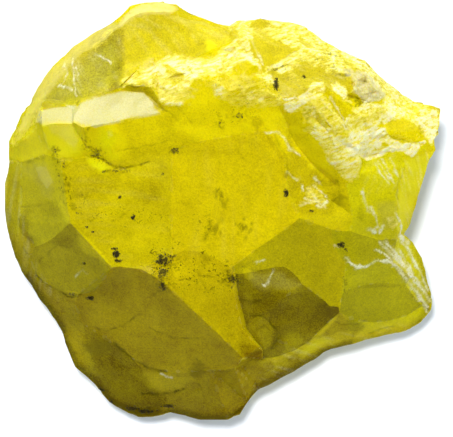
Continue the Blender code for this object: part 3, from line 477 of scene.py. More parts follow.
# ---------------------------------------------------------------- lines: strength, half width, path
CRACKS = (
    (0.9, 0.8, ((38, 276), (48, 284), (60, 291), (70, 297), (80, 296))),
    (0.7, 1.6, ((62, 293), (70, 296), (78, 296))),
    (0.75, 0.8, ((90, 326), (106, 331), (122, 326), (134, 318), (142, 314))),
    (0.7, 0.8, ((150, 328), (160, 333), (170, 337), (186, 338), (198, 339))),
    (0.9, 1.1, ((113, 343), (134, 360), (156, 371), (166, 372))),
    (0.35, 0.7, ((196, 371), (230, 371))),
    (1.0, 1.2, ((142, 394), (160, 395), (174, 393), (182, 390))),
    (0.9, 1.4, ((134, 408), (150, 408), (172, 405))),
    (0.4, 0.9, ((22, 207), (40, 206), (56, 203))),
    (0.5, 0.8, ((20, 219), (23, 232), (36, 247))),
    (0.5, 0.8, ((12, 158), (22, 163), (32, 162), (44, 158))),
    (0.6, 1.0, ((89, 147), (95, 155), (104, 160), (112, 166))),
    (0.65, 1.0, ((112, 166), (125, 168), (140, 165), (151, 161))),
    (0.6, 0.9, ((102, 172), (110, 171))),
    (0.4, 0.7, ((118, 151), (140, 148), (162, 143), (172, 140))),
    (0.25, 0.8, ((218, 150), (219, 172))),
    (0.25, 0.7, ((238, 148), (240, 160))),
    (0.5, 0.7, ((239, 268), (246, 266), (252, 271), (262, 272))),
    (0.9, 0.9, ((250, 315), (262, 317), (270, 321), (278, 332), (276, 342), (272, 349))),
    (0.7, 0.8, ((240, 300), (252, 302), (260, 300))),
    (0.55, 0.8, ((262, 359), (289, 355), (309, 343), (321, 330), (336, 314))),
    (0.4, 0.8, ((342, 288), (345, 288), (370, 287), (400, 286))),
    (0.5, 0.8, ((335, 323), (350, 325), (358, 324), (366, 321))),
    (0.5, 0.7, ((370, 333), (384, 328), (398, 326))),
    (0.5, 0.8, ((416, 296), (428, 310), (424, 318), (412, 328))),
    (0.35, 0.9, ((344, 276), (345, 288), (342, 300))),
    (0.5, 0.9, ((255, 386), (264, 382), (280, 376), (300, 366))),
    (0.3, 0.7, ((172, 103), (184, 114), (192, 124))),
    (0.4, 0.8, ((88, 219), (92, 221), (100, 216))),
    (0.35, 0.7, ((112, 222), (120, 218), (126, 214))),
    (0.4, 0.9, ((274, 137), (284, 154), (287, 160), (286, 178))),
    (0.5, 0.8, ((330, 176), (337, 184), (340, 192), (334, 200), (329, 206))),
    (0.3, 0.6, ((163, 226), (170, 232), (174, 240))),
    (0.5, 0.7, ((74, 80), (80, 100), (78, 104))),
    (0.6, 0.9, ((118, 88), (126, 86), (134, 87), (144, 86))),
    (0.4, 0.7, ((150, 100), (160, 108), (172, 114), (180, 122))),
    (0.5, 0.8, ((272, 71), (282, 67), (296, 62))),
    (0.4, 0.7, ((350, 100), (360, 106), (372, 104))),
    (0.4, 0.8, ((404, 168), (398, 184), (397, 210))),
    (0.4, 0.9, ((40, 262), (48, 252), (58, 246), (68, 248))),
    (0.4, 0.8, ((24, 246), (32, 260), (38, 274))),
    (0.4, 0.8, ((198, 384), (204, 396))),
    (0.3, 0.7, ((206, 382), (210, 394))),
    (0.5, 1.0, ((80, 382), (92, 388), (104, 400), (122, 412))),
    (0.4, 0.8, ((386, 135), (398, 139), (412, 143))),
    (0.5, 1.6, ((218, 190), (221, 198), (224, 206))),
    (0.45, 2.0, ((204, 240), (210, 231), (216, 225), (222, 220))),
    (0.45, 1.2, ((238, 224), (242, 231), (246, 226))),
    (0.4, 1.4, ((202, 252), (206, 260), (203, 268))),
    (0.6, 0.8, ((180, 280), (190, 279), (198, 282))),
    (0.5, 0.9, ((196, 270), (200, 276), (214, 277), (226, 272))),
    (0.35, 0.7, ((200, 280), (206, 290), (214, 290))),
    (0.5, 1.4, ((72, 194), (80, 197), (90, 197))),
    (0.5, 1.1, ((72, 208), (80, 213))),
    (0.5, 0.8, ((256, 330), (264, 326), (272, 332))),
    (0.6, 0.8, ((276, 340), (274, 348), (266, 352))),
)
SCRATCHES = (
    (0.6, 0.8, ((161, 374), (166, 376), (172, 377))),
    (0.9, 1.4, ((60, 85), (66, 86), (71, 90))),
    (0.8, 1.0, ((96, 54), (103, 58), (111, 63))),
    (0.6, 0.8, ((71, 56), (73, 68), (74, 82), (77, 96))),
    (0.5, 0.8, ((62, 60), (66, 72), (62, 84))),
    (0.7, 0.8, ((284, 100), (296, 99), (306, 101), (318, 97))),
    (0.8, 0.9, ((321, 100), (330, 110), (340, 122), (346, 130))),
    (0.6, 0.8, ((352, 84), (356, 92), (360, 98))),
    (0.6, 1.0, ((266, 133), (276, 132), (284, 138), (290, 148), (300, 156))),
    (1.0, 1.2, ((345, 257), (350, 263), (357, 267), (366, 266), (374, 262), (384, 260), (392, 263))),
    (0.9, 1.5, ((392, 263), (400, 270), (406, 280), (414, 290), (420, 300), (427, 306))),
    (1.0, 1.6, ((380, 244), (386, 249), (392, 255), (398, 261), (404, 266))),
    (1.0, 1.8, ((396, 256), (404, 264), (410, 274), (418, 284), (426, 294), (430, 302))),
    (0.9, 1.3, ((386, 244), (394, 252), (400, 258))),
    (0.9, 1.4, ((400, 238), (404, 246), (412, 256), (416, 266))),
    (0.8, 1.2, ((398, 250), (408, 264), (414, 276), (424, 290))),
    (0.7, 1.0, ((404, 244), (412, 256), (420, 272), (428, 290))),
    (0.7, 1.0, ((376, 250), (384, 254), (392, 260))),
    (0.8, 1.0, ((414, 290), (420, 296), (426, 306), (428, 312))),
    (0.8, 0.8, ((374, 162), (378, 170), (383, 178), (389, 183))),
    (0.8, 0.8, ((381, 159), (386, 167), (390, 176), (393, 183))),
    (0.6, 0.7, ((389, 158), (394, 166), (397, 176))),
    (0.6, 0.7, ((378, 161), (383, 170), (388, 179))),
    (0.8, 0.9, ((396, 214), (400, 222), (399, 234))),
    (0.5, 0.9, ((362, 188), (364, 200))),
    (0.7, 0.9, ((371, 206), (376, 216), (377, 226), (372, 230))),
    (1.0, 1.8, ((369, 230), (375, 232))),
    (1.0, 1.2, ((379, 233), (383, 225))),
    (1.0, 2.2, ((400, 236), (406, 242))),
    (0.8, 0.9, ((362, 192), (366, 204), (370, 212))),
    (0.8, 1.1, ((308, 188), (312, 194), (316, 198))),
    (0.9, 1.4, ((316, 205), (322, 206), (326, 202))),
    (0.8, 0.9, ((304, 198), (312, 201), (320, 204))),
    (0.7, 0.8, ((314, 186), (320, 192), (325, 198))),
    (0.8, 1.0, ((301, 186), (302, 190))),
    (0.8, 0.9, ((264, 285), (268, 280), (272, 272))),
    (0.5, 0.8, ((256, 262), (264, 260))),
    (0.4, 0.9, ((66, 104), (74, 108))),
    (0.4, 0.8, ((70, 58), (78, 72), (74, 84))),
    (0.4, 0.9, ((286, 172), (292, 177), (297, 180))),
    (0.5, 0.9, ((334, 245), (338, 247))),
    (0.5, 1.0, ((300, 205), (312, 202), (324, 200), (326, 206))),
    (0.5, 1.4, ((314, 178), (319, 182))),
    (0.4, 0.9, ((250, 38), (256, 50), (262, 66))),
    (0.35, 0.9, ((268, 70), (284, 60), (300, 50))),
    (0.35, 0.9, ((330, 98), (338, 112), (348, 130))),
    (0.35, 0.8, ((310, 102), (322, 116), (336, 134))),
    (0.35, 0.8, ((76, 276), (82, 270), (88, 274))),
)

# ---------------------------------------------------------------- spots
# strength, x, y, half width, half height, how crumbled
DIRT = (
    (0.9, 98, 390, 5.0, 2.5, 0.9), (0.9, 108, 402, 5.0, 2.2, 0.9), (0.9, 146, 411, 9.0, 1.6, 0.9),
    (0.8, 168, 407, 6.0, 1.2, 0.9), (0.7, 132, 408, 6.0, 1.6, 0.9), (0.7, 72, 294, 4.0, 1.2, 0.8),
    (0.4, 96, 154, 3.0, 3.0, 0.9), (0.25, 235, 280, 5.0, 3.0, 0.9), (0.6, 276, 70, 2.0, 1.2, 0.8),
    (0.6, 282, 67, 2.0, 0.9, 0.8), (0.7, 330, 54, 1.5, 0.8, 0.6), (0.8, 336, 57, 1.0, 0.8, 0.4),
    (0.4, 240, 116, 2.5, 2.5, 0.9), (0.4, 220, 125, 1.5, 2.0, 0.9), (0.4, 56, 152, 1.5, 3.0, 0.9),
    (0.4, 65, 164, 2.0, 3.0, 0.9), (1.0, 116.5, 254, 3.6, 3.4, 0.1), (1.0, 115, 248.5, 3.0, 1.0, 0.3),
    (0.9, 118.5, 260.5, 3.4, 1.8, 0.5), (0.9, 165, 259, 6.5, 4.5, 0.95), (0.9, 160, 262, 3.0, 1.6, 0.6),
    (0.8, 163, 272, 5.0, 4.5, 0.9), (0.9, 163, 285, 2.8, 4.6, 0.9), (1.0, 90, 298, 3.2, 1.9, 0.6),
    (0.9, 133.5, 217, 1.8, 2.6, 0.3), (1.0, 120, 197, 1.5, 1.4, 0.2), (0.6, 175, 151, 3.0, 2.6, 0.8),
    (1.0, 285.5, 193, 2.0, 3.8, 0.4), (1.0, 276, 85, 2.6, 6.0, 0.3), (0.9, 304, 77, 1.5, 1.5, 0.3),
    (0.9, 341, 245, 3.4, 2.6, 0.5), (0.7, 346, 250, 1.4, 2.0, 0.5), (0.6, 311, 211, 1.8, 1.6, 0.5),
    (0.5, 84, 263, 1.4, 1.4, 0.4), (0.3, 231, 279, 3.4, 2.6, 0.9), (0.8, 87, 227, 1.4, 0.9, 0.4),
    (0.8, 93, 232, 1.3, 1.0, 0.4), (0.6, 79, 213, 2.0, 1.2, 0.8), (0.6, 104, 172, 2.6, 1.0, 0.8),
    (0.6, 116, 171, 3.0, 1.1, 0.9), (0.5, 163, 174, 1.4, 1.0, 0.4),
)
SMUDGES = (
    (0.5, 212, 229, 7, 6, 1.2), (0.5, 243, 227, 6, 6, 1.2), (0.5, 220, 194, 4, 5, 1.0),
    (0.35, 224, 205, 3, 7, 1.0), (0.7, 231, 279, 9, 6, 1.2), (0.4, 165, 262, 12, 10, 1.3),
    (0.4, 163, 282, 9, 9, 1.3), (0.5, 96, 152, 7, 5, 1.2), (0.5, 122, 169, 8, 3, 1.2),
    (0.5, 175, 151, 5, 4, 1.2), (0.4, 56, 152, 4, 6, 1.2), (0.5, 66, 184, 5, 10, 1.4),
    (0.4, 82, 196, 9, 3, 1.2), (0.4, 74, 206, 8, 4, 1.2), (0.45, 86, 136, 4, 9, 1.3),
    (0.3, 220, 122, 4, 5, 1.2), (0.25, 240, 114, 10, 5, 1.4), (0.3, 208, 258, 5, 6, 1.3),
    (0.5, 345, 284, 3, 7, 1.2), (0.3, 340, 200, 5, 8, 1.3), (0.5, 360, 103, 10, 4, 1.2),
    (0.4, 308, 114, 8, 8, 1.2), (0.6, 345, 75, 5, 3, 1.0), (0.4, 124, 86, 8, 2, 1.0),
    (0.5, 198, 368, 8, 7, 0.8), (0.4, 276, 340, 4, 8, 1.0), (0.4, 328, 54, 9, 2.5, 1.4),
    (0.4, 104, 396, 12, 5, 1.2), (0.5, 148, 412, 18, 4, 1.2), (0.3, 428, 132, 8, 4, 1.2),
)

# ---------------------------------------------------------------- rim
# angle round the origin in degrees (0 is right, 90 is up), and how far the rim moves out in plan units
RIM_MOVES = (
    (5, -2.4), (15, -1.1), (25, -1.9), (35, 0.4), (55, 1.3), (65, -2.4), (75, -1.9), (85, 0.1), (95, -0.5),
    (105, -2.3), (115, -1.0), (125, -2.2), (135, -3.9), (145, -0.4), (155, 1.2), (185, 2.3), (195, 2.0),
    (205, 3.0), (215, 0.3), (235, -0.3), (245, 1.5), (255, 0.2), (265, 0.9), (275, 0.5), (285, -1.3),
    (295, -2.7), (305, -2.6), (315, 0.9), (325, 0.3), (335, 0.8), (355, 1.0),
)
RIM_STEP = 2                        # degrees between the places where the rim's reach is taken
RIM_MOVED = (0.82, 1.0)             # shares of the rim's reach over which the ground moves along
RIM_SHADE_ANGLES = (170, 200, 350, 380)     # painted shade: the rim is darkened over the first two angles and clears over the others
RIM_SHADE_SHARES = (0.955, 0.995)


def plan(points):
    """Plan places of points that are given in millimetres."""
    return np.stack([points[:, 0] * UNITS_PER_MM + PLAN_ORIGIN[0],
                     PLAN_ORIGIN[1] - points[:, 1] * UNITS_PER_MM], 1)


def ease(value, low, high):
    """0 up to low, 1 from high, and a smooth rise between them."""
    share = np.clip((value - low) / (high - low), 0, 1)
    return share * share * (3 - 2 * share)


# ---------------------------------------------------------------- noise
FLAKE_TURN = math.radians(22)       # broken ground flakes along this, from +X
FLAKE_DIRECTION = np.array([math.cos(FLAKE_TURN), math.sin(FLAKE_TURN), 0.0])
FLAKE_SQUEEZE = 0.40                # lengths along the flakes count this much less, so they come out long
FLAKE_STRETCH = np.eye(3) - FLAKE_SQUEEZE * np.outer(FLAKE_DIRECTION, FLAKE_DIRECTION)
STREAK_LENGTH = 9.0                 # how many times longer than wide a streak is
HASH_SIZE = 256
NOISE_GAIN = 1.7                    # brings the noise to about -1 to 1
LAYERS_SUM = 1.6                    # how strong noise and its finer layers are together
CELL_JITTER = 0.5
CHIP_STEP = 0.5
CHIP_LIMIT = 1.2
KNOB_STEEPNESS = 2.6
CORNERS = np.array(list(itertools.product((0, 1), repeat=3)))
NEIGHBOURS = np.array(list(itertools.product((-1, 0, 1), repeat=3)))


def hash_tables(seed):
    """The shuffled table of a seed, and unit slopes and random values to go with it."""
    chance = np.random.RandomState(seed)
    slopes = chance.normal(size=(HASH_SIZE, 3))
    slopes /= np.linalg.norm(slopes, axis=1)[:, None]
    return chance.permutation(HASH_SIZE), slopes, chance.uniform(-1, 1, (HASH_SIZE, 4))


def hash_cells(cells, table):
    """A row of the tables for each cell of space."""
    low = cells & (HASH_SIZE - 1)
    first = (table[low[:, 0]] + low[:, 1]) & (HASH_SIZE - 1)
    return table[(table[first] + low[:, 2]) & (HASH_SIZE - 1)]


def noise(points, size, seed):
    """Smooth noise from about -1 to 1, with lumps about size mm wide."""
    table, slopes, _ = hash_tables(seed)
    place = points / size + seed
    cell = np.floor(place).astype(int)
    part = place - cell
    fade = part ** 3 * (part * (part * 6 - 15) + 10)
    total = np.zeros(len(points))
    for corner in CORNERS:
        slope = slopes[hash_cells(cell + corner, table)]
        weight = np.prod(np.where(corner == 1, fade, 1 - fade), axis=1)
        total += weight * np.sum(slope * (part - corner), axis=1)
    return total * NOISE_GAIN


def layered(points, size, seed, layers=3):
    """Noise with finer and weaker layers on top."""
    return sum(noise(points, size / 2 ** k, seed + k) / 2 ** k for k in range(layers)) / LAYERS_SUM


def nearby_cells(points, size, seed):
    """For each cell round each point: the way from its middle to the point, and its random values."""
    table, _, values = hash_tables(seed)
    place = points / size + seed
    cell = np.floor(place).astype(int)
    for step in NEIGHBOURS:
        chance = values[hash_cells(cell + step, table)]
        yield place - (cell + step + 0.5 + chance[:, :3] * CELL_JITTER), chance


def chips(points, size, seed, tilt=1.4):
    """Height of chipped ground, about -1 to 1: each cell is a small plane with its own tilt."""
    nearest = np.full(len(points), np.inf)
    height = np.zeros(len(points))
    for away, chance in nearby_cells(points, size, seed):
        gap = np.sum(away ** 2, axis=1)
        closer = gap < nearest
        nearest = np.where(closer, gap, nearest)
        flat = chance[:, 3] * CHIP_STEP + tilt * np.sum(away * chance[:, 2::-1], axis=1)
        height = np.where(closer, flat, height)
    return np.clip(height, -CHIP_LIMIT, CHIP_LIMIT)


def knobs(points, size, seed):
    """Height of a crust of round knobs, 0 to 1."""
    nearest = np.full(len(points), np.inf)
    for away, _ in nearby_cells(points, size, seed):
        nearest = np.minimum(nearest, np.sum(away ** 2, axis=1))
    return np.sqrt(np.clip(1 - nearest * KNOB_STEEPNESS, 0, 1))


# ---------------------------------------------------------------- distances in plan
def path_distance(places, path):
    """Distance from each place to a path."""
    best = np.full(len(places), np.inf)
    for start, end in zip(path, path[1:]):
        start, end = np.array(start, float), np.array(end, float)
        along = end - start
        share = np.clip((places - start) @ along / (along @ along), 0, 1)
        best = np.minimum(best, np.linalg.norm(places - start - share[:, None] * along, axis=1))
    return best


def inside_area(places, outline):
    """Whether each place is inside a closed outline."""
    crossings = np.zeros(len(places), int)
    for (ax, ay), (bx, by) in zip(outline, outline[1:] + outline[:1]):
        if ay == by:
            continue
        spans = (ay > places[:, 1]) != (by > places[:, 1])
        at = ax + (places[:, 1] - ay) / (by - ay) * (bx - ax)
        crossings += spans & (at > places[:, 0])
    return crossings % 2 == 1


def area_depth(places, outline):
    """Distance inside a closed outline, negative outside it."""
    gap = path_distance(places, outline + outline[:1])
    return np.where(inside_area(places, outline), gap, -gap)


def near_box(places, path, margin):
    """Whether each place is within a margin of the box round a path."""
    low, high = np.min(path, axis=0) - margin, np.max(path, axis=0) + margin
    return np.all((places > low) & (places < high), axis=1)


# ---------------------------------------------------------------- mesh in arrays
def read_solid():
    """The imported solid's corners (mm) and triangles, with doubled corners merged."""
    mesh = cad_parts[NODE].data
    flat = np.empty(len(mesh.vertices) * 3, np.float64)
    mesh.vertices.foreach_get("co", flat)
    mesh.calc_loop_triangles()
    triangles = np.empty(len(mesh.loop_triangles) * 3, np.int64)
    mesh.loop_triangles.foreach_get("vertices", triangles)
    points, back = np.unique(np.round(flat.reshape(-1, 3) / MM, 4), axis=0, return_inverse=True)
    return points, back.reshape(-1)[triangles].reshape(-1, 3)


def unit(vectors):
    """The same vectors with a length of one."""
    return vectors / np.maximum(np.linalg.norm(vectors, axis=1), 1e-12)[:, None]


def face_areas(points, triangles):
    """For each triangle, the vector along its normal that is twice its area long."""
    a, b, c = (points[triangles[:, k]] for k in range(3))
    return np.cross(b - a, c - a)


def face_normals(points, triangles):
    """The unit normal of each triangle."""
    return unit(face_areas(points, triangles))


def corner_normals(points, triangles):
    """The unit normal at each corner, with larger triangles counting for more."""
    area = face_areas(points, triangles)
    total = np.zeros_like(points)
    for k in range(3):
        np.add.at(total, triangles[:, k], area)
    return unit(total)


def edge_table(triangles):
    """Every edge once, as sorted corner pairs, and the edges of each triangle."""
    sides = [triangles[:, [0, 1]], triangles[:, [1, 2]], triangles[:, [2, 0]]]
    pairs = np.sort(np.concatenate(sides), axis=1)
    span = triangles.max() + 1
    keys, back = np.unique(pairs[:, 0] * span + pairs[:, 1], return_inverse=True)
    return np.stack([keys // span, keys % span], 1), back.reshape(3, -1).T


def find_creases(points, triangles, tags):
    """The edges where facets meet at an angle, as a boolean for each edge of edge_table."""
    edges, of_face = edge_table(triangles)
    normals = face_normals(points, triangles)
    total = np.zeros((len(edges), 3))
    first, last = np.full(len(edges), len(FACETS)), np.full(len(edges), -1)
    for k in range(3):
        np.add.at(total, of_face[:, k], normals)
        np.minimum.at(first, of_face[:, k], tags[:, 0])
        np.maximum.at(last, of_face[:, k], tags[:, 0])
    bend = 2 * np.degrees(np.arccos(np.clip(np.linalg.norm(total, axis=1) / 2, 0, 1)))
    return (bend > CREASE_DEG) | ((first != last) & (bend > FACET_CREASE_DEG))


def cut_triangles(points, triangles, of_face, new_index):
    """Cuts each triangle at the new corners on its edges; also gives the triangle each piece is from."""
    children, origin = [], []
    cut = new_index[of_face] >= 0
    count = cut.sum(axis=1)
    rows = np.arange(len(triangles))

    def add(which, *corners):
        children.append(np.stack(corners, 1))
        origin.append(which)

    whole = rows[count == 0]
    add(whole, *triangles[whole].T)
    for k in range(3):
        one = rows[(count == 1) & cut[:, k]]
        a, b, c = (triangles[one, (k + s) % 3] for s in range(3))
        m = new_index[of_face[one, k]]
        add(one, a, m, c)
        add(one, m, b, c)
        two = rows[(count == 2) & ~cut[:, k]]
        a, b, c = (triangles[two, (k + s) % 3] for s in range(3))
        n, m = (new_index[of_face[two, (k + s) % 3]] for s in (1, 2))
        add(two, n, c, m)
        a_to_n, b_to_m = (np.linalg.norm(points[p] - points[q], axis=1) for p, q in ((a, n), (b, m)))
        from_a = a_to_n < b_to_m
        add(two[from_a], a[from_a], b[from_a], n[from_a])
        add(two[from_a], a[from_a], n[from_a], m[from_a])
        add(two[~from_a], a[~from_a], b[~from_a], m[~from_a])
        add(two[~from_a], b[~from_a], n[~from_a], m[~from_a])
    three = rows[count == 3]
    a, b, c = triangles[three].T
    ab, bc, ca = (new_index[of_face[three, k]] for k in range(3))
    for corners in ((a, ab, ca), (ab, b, bc), (ca, bc, c), (ab, bc, ca)):
        add(three, *corners)
    return np.concatenate(children), np.concatenate(origin)


def split_edges(points, triangles, marked, middles, tags, creases):
    """Splits the marked edges at middles; tags and creases go on to the new triangles and edges."""
    edges, of_face = edge_table(triangles)
    new_index = np.full(len(edges), -1)
    new_index[marked] = len(points) + np.arange(marked.sum())
    points = np.concatenate([points, middles])
    triangles, origin = cut_triangles(points, triangles, of_face, new_index)
    both = creases & marked
    halves = [np.stack([edges[both, end], new_index[both]], 1) for end in range(2)]
    lines = np.concatenate([edges[creases & ~marked], *halves])
    return points, triangles, tags[origin], flag_edges(triangles, lines)


def flag_edges(triangles, lines):
    """Which edges of edge_table are among the given corner pairs."""
    edges, _ = edge_table(triangles)
    span = edges.max() + 1
    return np.isin(edges[:, 0] * span + edges[:, 1], np.sort(lines, axis=1) @ np.array([span, 1]))


def crease_neighbours(points, edges, creases):
    """For each corner on a smooth run of crease, its two neighbours along it; -1 elsewhere."""
    near = [[] for _ in points]
    for a, b in edges[creases]:
        near[a].append(b)
        near[b].append(a)
    pairs = np.full((len(points), 2), -1)
    for corner, others in enumerate(near):
        if len(others) != 2:
            continue
        back, ahead = points[corner] - points[others[0]], points[others[1]] - points[corner]
        turn = np.dot(back, ahead) / (np.linalg.norm(back) * np.linalg.norm(ahead))
        if turn > math.cos(math.radians(CURVE_LIMIT_DEG)):
            pairs[corner] = others
    return pairs


def crease_middles(points, edges, creases):
    """The middle of each edge, moved on creases so that they curve through their corners."""
    middles = (points[edges[:, 0]] + points[edges[:, 1]]) / 2
    pairs = crease_neighbours(points, edges, creases)
    for index in np.nonzero(creases)[0]:
        for here, there in (edges[index], edges[index][::-1]):
            if pairs[here][0] < 0:
                continue
            beyond = pairs[here][0] if pairs[here][1] == there else pairs[here][1]
            back, ahead = points[here] - points[beyond], points[there] - points[here]
            middles[index] += (back - ahead) / CURVE_DIVISOR
    return middles


def smooth_split(points, triangles, tags, creases):
    """Splits every edge; creases become curves through their corners, and open ground is rounded."""
    edges, _ = edge_table(triangles)
    middles = crease_middles(points, edges, creases)
    everything = np.ones(len(edges), bool)
    points, triangles, tags, creases = split_edges(points, triangles, everything, middles, tags, creases)
    edges, _ = edge_table(triangles)
    fixed = np.zeros(len(points), bool)
    fixed[edges[creases].reshape(-1)] = True
    total, count = np.zeros_like(points), np.zeros(len(points))
    for here, there in (edges.T, edges.T[::-1]):
        np.add.at(total, here, points[there])
        np.add.at(count, here, 1)
    relaxed = points * KEPT_PLACE + total / count[:, None] * (1 - KEPT_PLACE)
    return np.where(fixed[:, None], points, relaxed), triangles, tags, creases


def find_displayed(points, triangles):
    """Whether each triangle is on the display side: it faces up, and nothing of the solid lies over it."""
    up = Vector((0, 0, 1))
    tree = BVHTree.FromPolygons([Vector(point) for point in points], triangles.tolist())
    middles = points[triangles].mean(axis=1)
    displayed = np.zeros(len(triangles), bool)
    for index in np.nonzero(face_normals(points, triangles)[:, 2] > FACING_UP)[0]:
        displayed[index] = tree.ray_cast(Vector(middles[index]) + up * RAY_LIFT, up)[0] is None
    return displayed


# ---------------------------------------------------------------- drawing on the facets
RAGGED_SIZE = 11.0                  # plan units between the bulges of a ragged edge
LINE_WANDER = 2.2                   # plan units that a line strays from its path
LINE_SHAKE = (0.9, 3.0)             # plan units that it trembles, and between two bends
LINE_FAINTEST = 0.35                # its strength where it all but breaks
LINE_BREAK_MM = 1.3
LINE_BREAKS = (-0.35, 0.25)         # the noise over which it goes from all but broken to whole
LINE_SWELL_MM = 0.7
LINE_SWELL = 0.6
LINE_EDGE = (0.3, 1.7)              # shares of its half width over which it fades out
SPOT_GRAINS_MM = (0.42, 0.22)
SPOT_FINE_SHARE = 0.6
SPOT_RAGGED = 0.25
SPOT_EDGE = (-0.05, 0.2)
SPOT_MARGIN = 4


def ragged(places, amount, seed, size=RAGGED_SIZE):
    """Plan places, moved a little by noise so that what is drawn there gets a ragged edge."""
    flat = np.column_stack([places, np.zeros(len(places))])
    moved = places.copy()
    for axis in range(2):
        moved[:, axis] += amount * layered(flat, size, seed + 10 * axis)
    return moved


def zone_masks(places, zones, seed):
    """For each zone, its value and how strongly each place is in it, 0 to 1."""
    for number, (value, feather, raggedness, outline) in enumerate(zones):
        near = near_box(places, outline, ZONE_MARGIN)
        depth = area_depth(ragged(places[near], raggedness, seed + number), outline)
        mask = np.zeros(len(places))
        mask[near] = ease(depth, -feather, feather)
        yield value, mask


def painted(start, places, zones, seed):
    """The zones' values, painted one over another on a starting value."""
    total = start
    for value, mask in zone_masks(places, zones, seed):
        total = total * (1 - mask) + value * mask
    return total


def striped(places, zones, seed):
    """Fine streaks along each zone's direction, about -1 to 1 where a zone is strong."""
    total = np.zeros(len(places))
    for number, (strength, feather, raggedness, direction, spacing, outline) in enumerate(zones):
        zone = (strength, feather, raggedness, outline)
        mask = painted(np.zeros(len(places)), places, (zone,), seed + number)
        turn = math.radians(direction)
        along = (places[:, 0] * math.cos(turn) + places[:, 1] * math.sin(turn)) / UNITS_PER_MM
        across = (places[:, 1] * math.cos(turn) - places[:, 0] * math.sin(turn)) / UNITS_PER_MM
        lines = np.column_stack([across, along / STREAK_LENGTH, np.zeros(len(places))])
        total += mask * layered(lines, spacing, seed + number, 2)
    return total


def line_mask(points, places, lines, seed):
    """How strongly each place is on the broken lines, 0 to 1."""
    total = np.zeros(len(places))
    for number, (strength, width, path) in enumerate(lines):
        near = near_box(places, path, LINE_MARGIN)
        strayed = ragged(places[near], LINE_WANDER, seed + number)
        gap = path_distance(ragged(strayed, LINE_SHAKE[0], seed + 50 + number, LINE_SHAKE[1]), path)
        unbroken = ease(noise(points[near], LINE_BREAK_MM, seed + number), *LINE_BREAKS)
        strength *= LINE_FAINTEST + (1 - LINE_FAINTEST) * unbroken
        thick = width * (1 + LINE_SWELL * noise(points[near], LINE_SWELL_MM, seed + 3))
        faded = ease(gap, *(thick * edge for edge in LINE_EDGE))
        total[near] = np.maximum(total[near], strength * (1 - faded))
    return total


def spot_mask(points, places, spots, seed):
    """How strongly each place is on the ragged spots, 0 to 1."""
    total = np.zeros(len(places))
    coarse, fine = SPOT_GRAINS_MM
    for number, (strength, x, y, wide, high, crumbled) in enumerate(spots):
        near = near_box(places, ((x - wide * 2, y - high * 2), (x + wide * 2, y + high * 2)), SPOT_MARGIN)
        reach = np.linalg.norm((places[near] - (x, y)) / (wide, high), axis=1)
        grain = noise(points[near], coarse, seed + number)
        grain += SPOT_FINE_SHARE * noise(points[near], fine, seed + number)
        solid = 1 - reach + (SPOT_RAGGED + crumbled) * grain - crumbled * SPOT_RAGGED
        total[near] = np.maximum(total[near], strength * ease(solid, *SPOT_EDGE))
    return total


def rim_share(points):
    """For each point, its angle round the origin in degrees, and its distance as a share of the rim's."""
    angle = np.degrees(np.arctan2(points[:, 1], points[:, 0])) % 360
    distance = np.hypot(points[:, 0], points[:, 1])
    reach = np.zeros(360 // RIM_STEP)
    np.maximum.at(reach, (angle / RIM_STEP).astype(int), distance)
    middles = (np.arange(len(reach)) + 0.5) * RIM_STEP
    return angle, distance / np.interp(angle, middles, reach, period=360)


def move_rim(points, angle, share):
    """Moves the rim out or in to its outline, and the ground just inside it less and less."""
    angles, moves = np.array(RIM_MOVES).T
    amount = np.interp(angle, angles, moves, period=360) / UNITS_PER_MM * ease(share, *RIM_MOVED)
    turn = np.radians(angle)
    return points + np.column_stack([np.cos(turn) * amount, np.sin(turn) * amount, np.zeros(len(points))])


# ---------------------------------------------------------------- building the lump
def refine(points, triangles, tags, creases, wanted):
    """Splits every edge that is longer than wanted at its middle, until none is."""
    for _ in range(SPLIT_ROUNDS):
        edges, of_face = edge_table(triangles)
        a, b = points[edges[:, 0]], points[edges[:, 1]]
        middles = (a + b) / 2
        display = np.zeros(len(edges), bool)
        display[of_face[tags[:, 1] > 0].reshape(-1)] = True
        marked = np.linalg.norm(a - b, axis=1) > wanted(middles, display)
        if not marked.any():
            break
        middles = middles[marked]
        points, triangles, tags, creases = split_edges(points, triangles, marked, middles, tags, creases)
    return points, triangles, tags, creases


def detail_gap(places, display):
    """Distance of each place from the nearest fine detail, in plan units."""
    gap = np.full(len(places), np.inf)
    for *_, path in CRACKS + SCRATCHES:
        near = near_box(places, path, LINE_MARGIN) & display
        gap[near] = np.minimum(gap[near], path_distance(places[near], path))
    for _, x, y, wide, high, _ in DIRT:
        gap = np.minimum(gap, np.hypot(places[:, 0] - x, places[:, 1] - y) - max(wide, high))
    for *_, outline in SHADE_ZONES:
        near = near_box(places, outline, LINE_MARGIN) & display
        rim = path_distance(places[near], outline + outline[:1])
        gap[near] = np.minimum(gap[near], rim + DETAIL_REACH - PLANE_REACH)
    return gap


def wanted_edge(middles, display):
    """The longest edge allowed at each place, mm."""
    places = plan(middles)
    size = np.where(display, DISPLAY_EDGE, SIDE_EDGE)
    size = np.where(~display & (middles[:, 2] < REST_HEIGHT), REST_EDGE, size)
    for *_, outline in FROST_AND_LIGHT_ZONES + CRUST_ZONES + STRIPE_ZONES[:FINE_STRIPES]:
        near = near_box(places, outline, LINE_MARGIN) & display
        rough = area_depth(places[near], outline) > -BROKEN_REACH
        size[near] = np.where(rough, np.minimum(size[near], BROKEN_EDGE), size[near])
    return np.where(display & (detail_gap(places, display) < DETAIL_REACH), DETAIL_EDGE, size)


def facet_tags(points, triangles):
    """For each triangle: its facet's number (-1 for open ground), and whether it is on the display side."""
    places = plan(points[triangles].mean(axis=1))
    display = find_displayed(points, triangles)
    facet = np.full(len(triangles), -1)
    for number, (*_, outline) in enumerate(FACETS.values()):
        facet[inside_area(places, outline) & display & (facet < 0)] = number
    return np.stack([facet, display.astype(int)], 1)


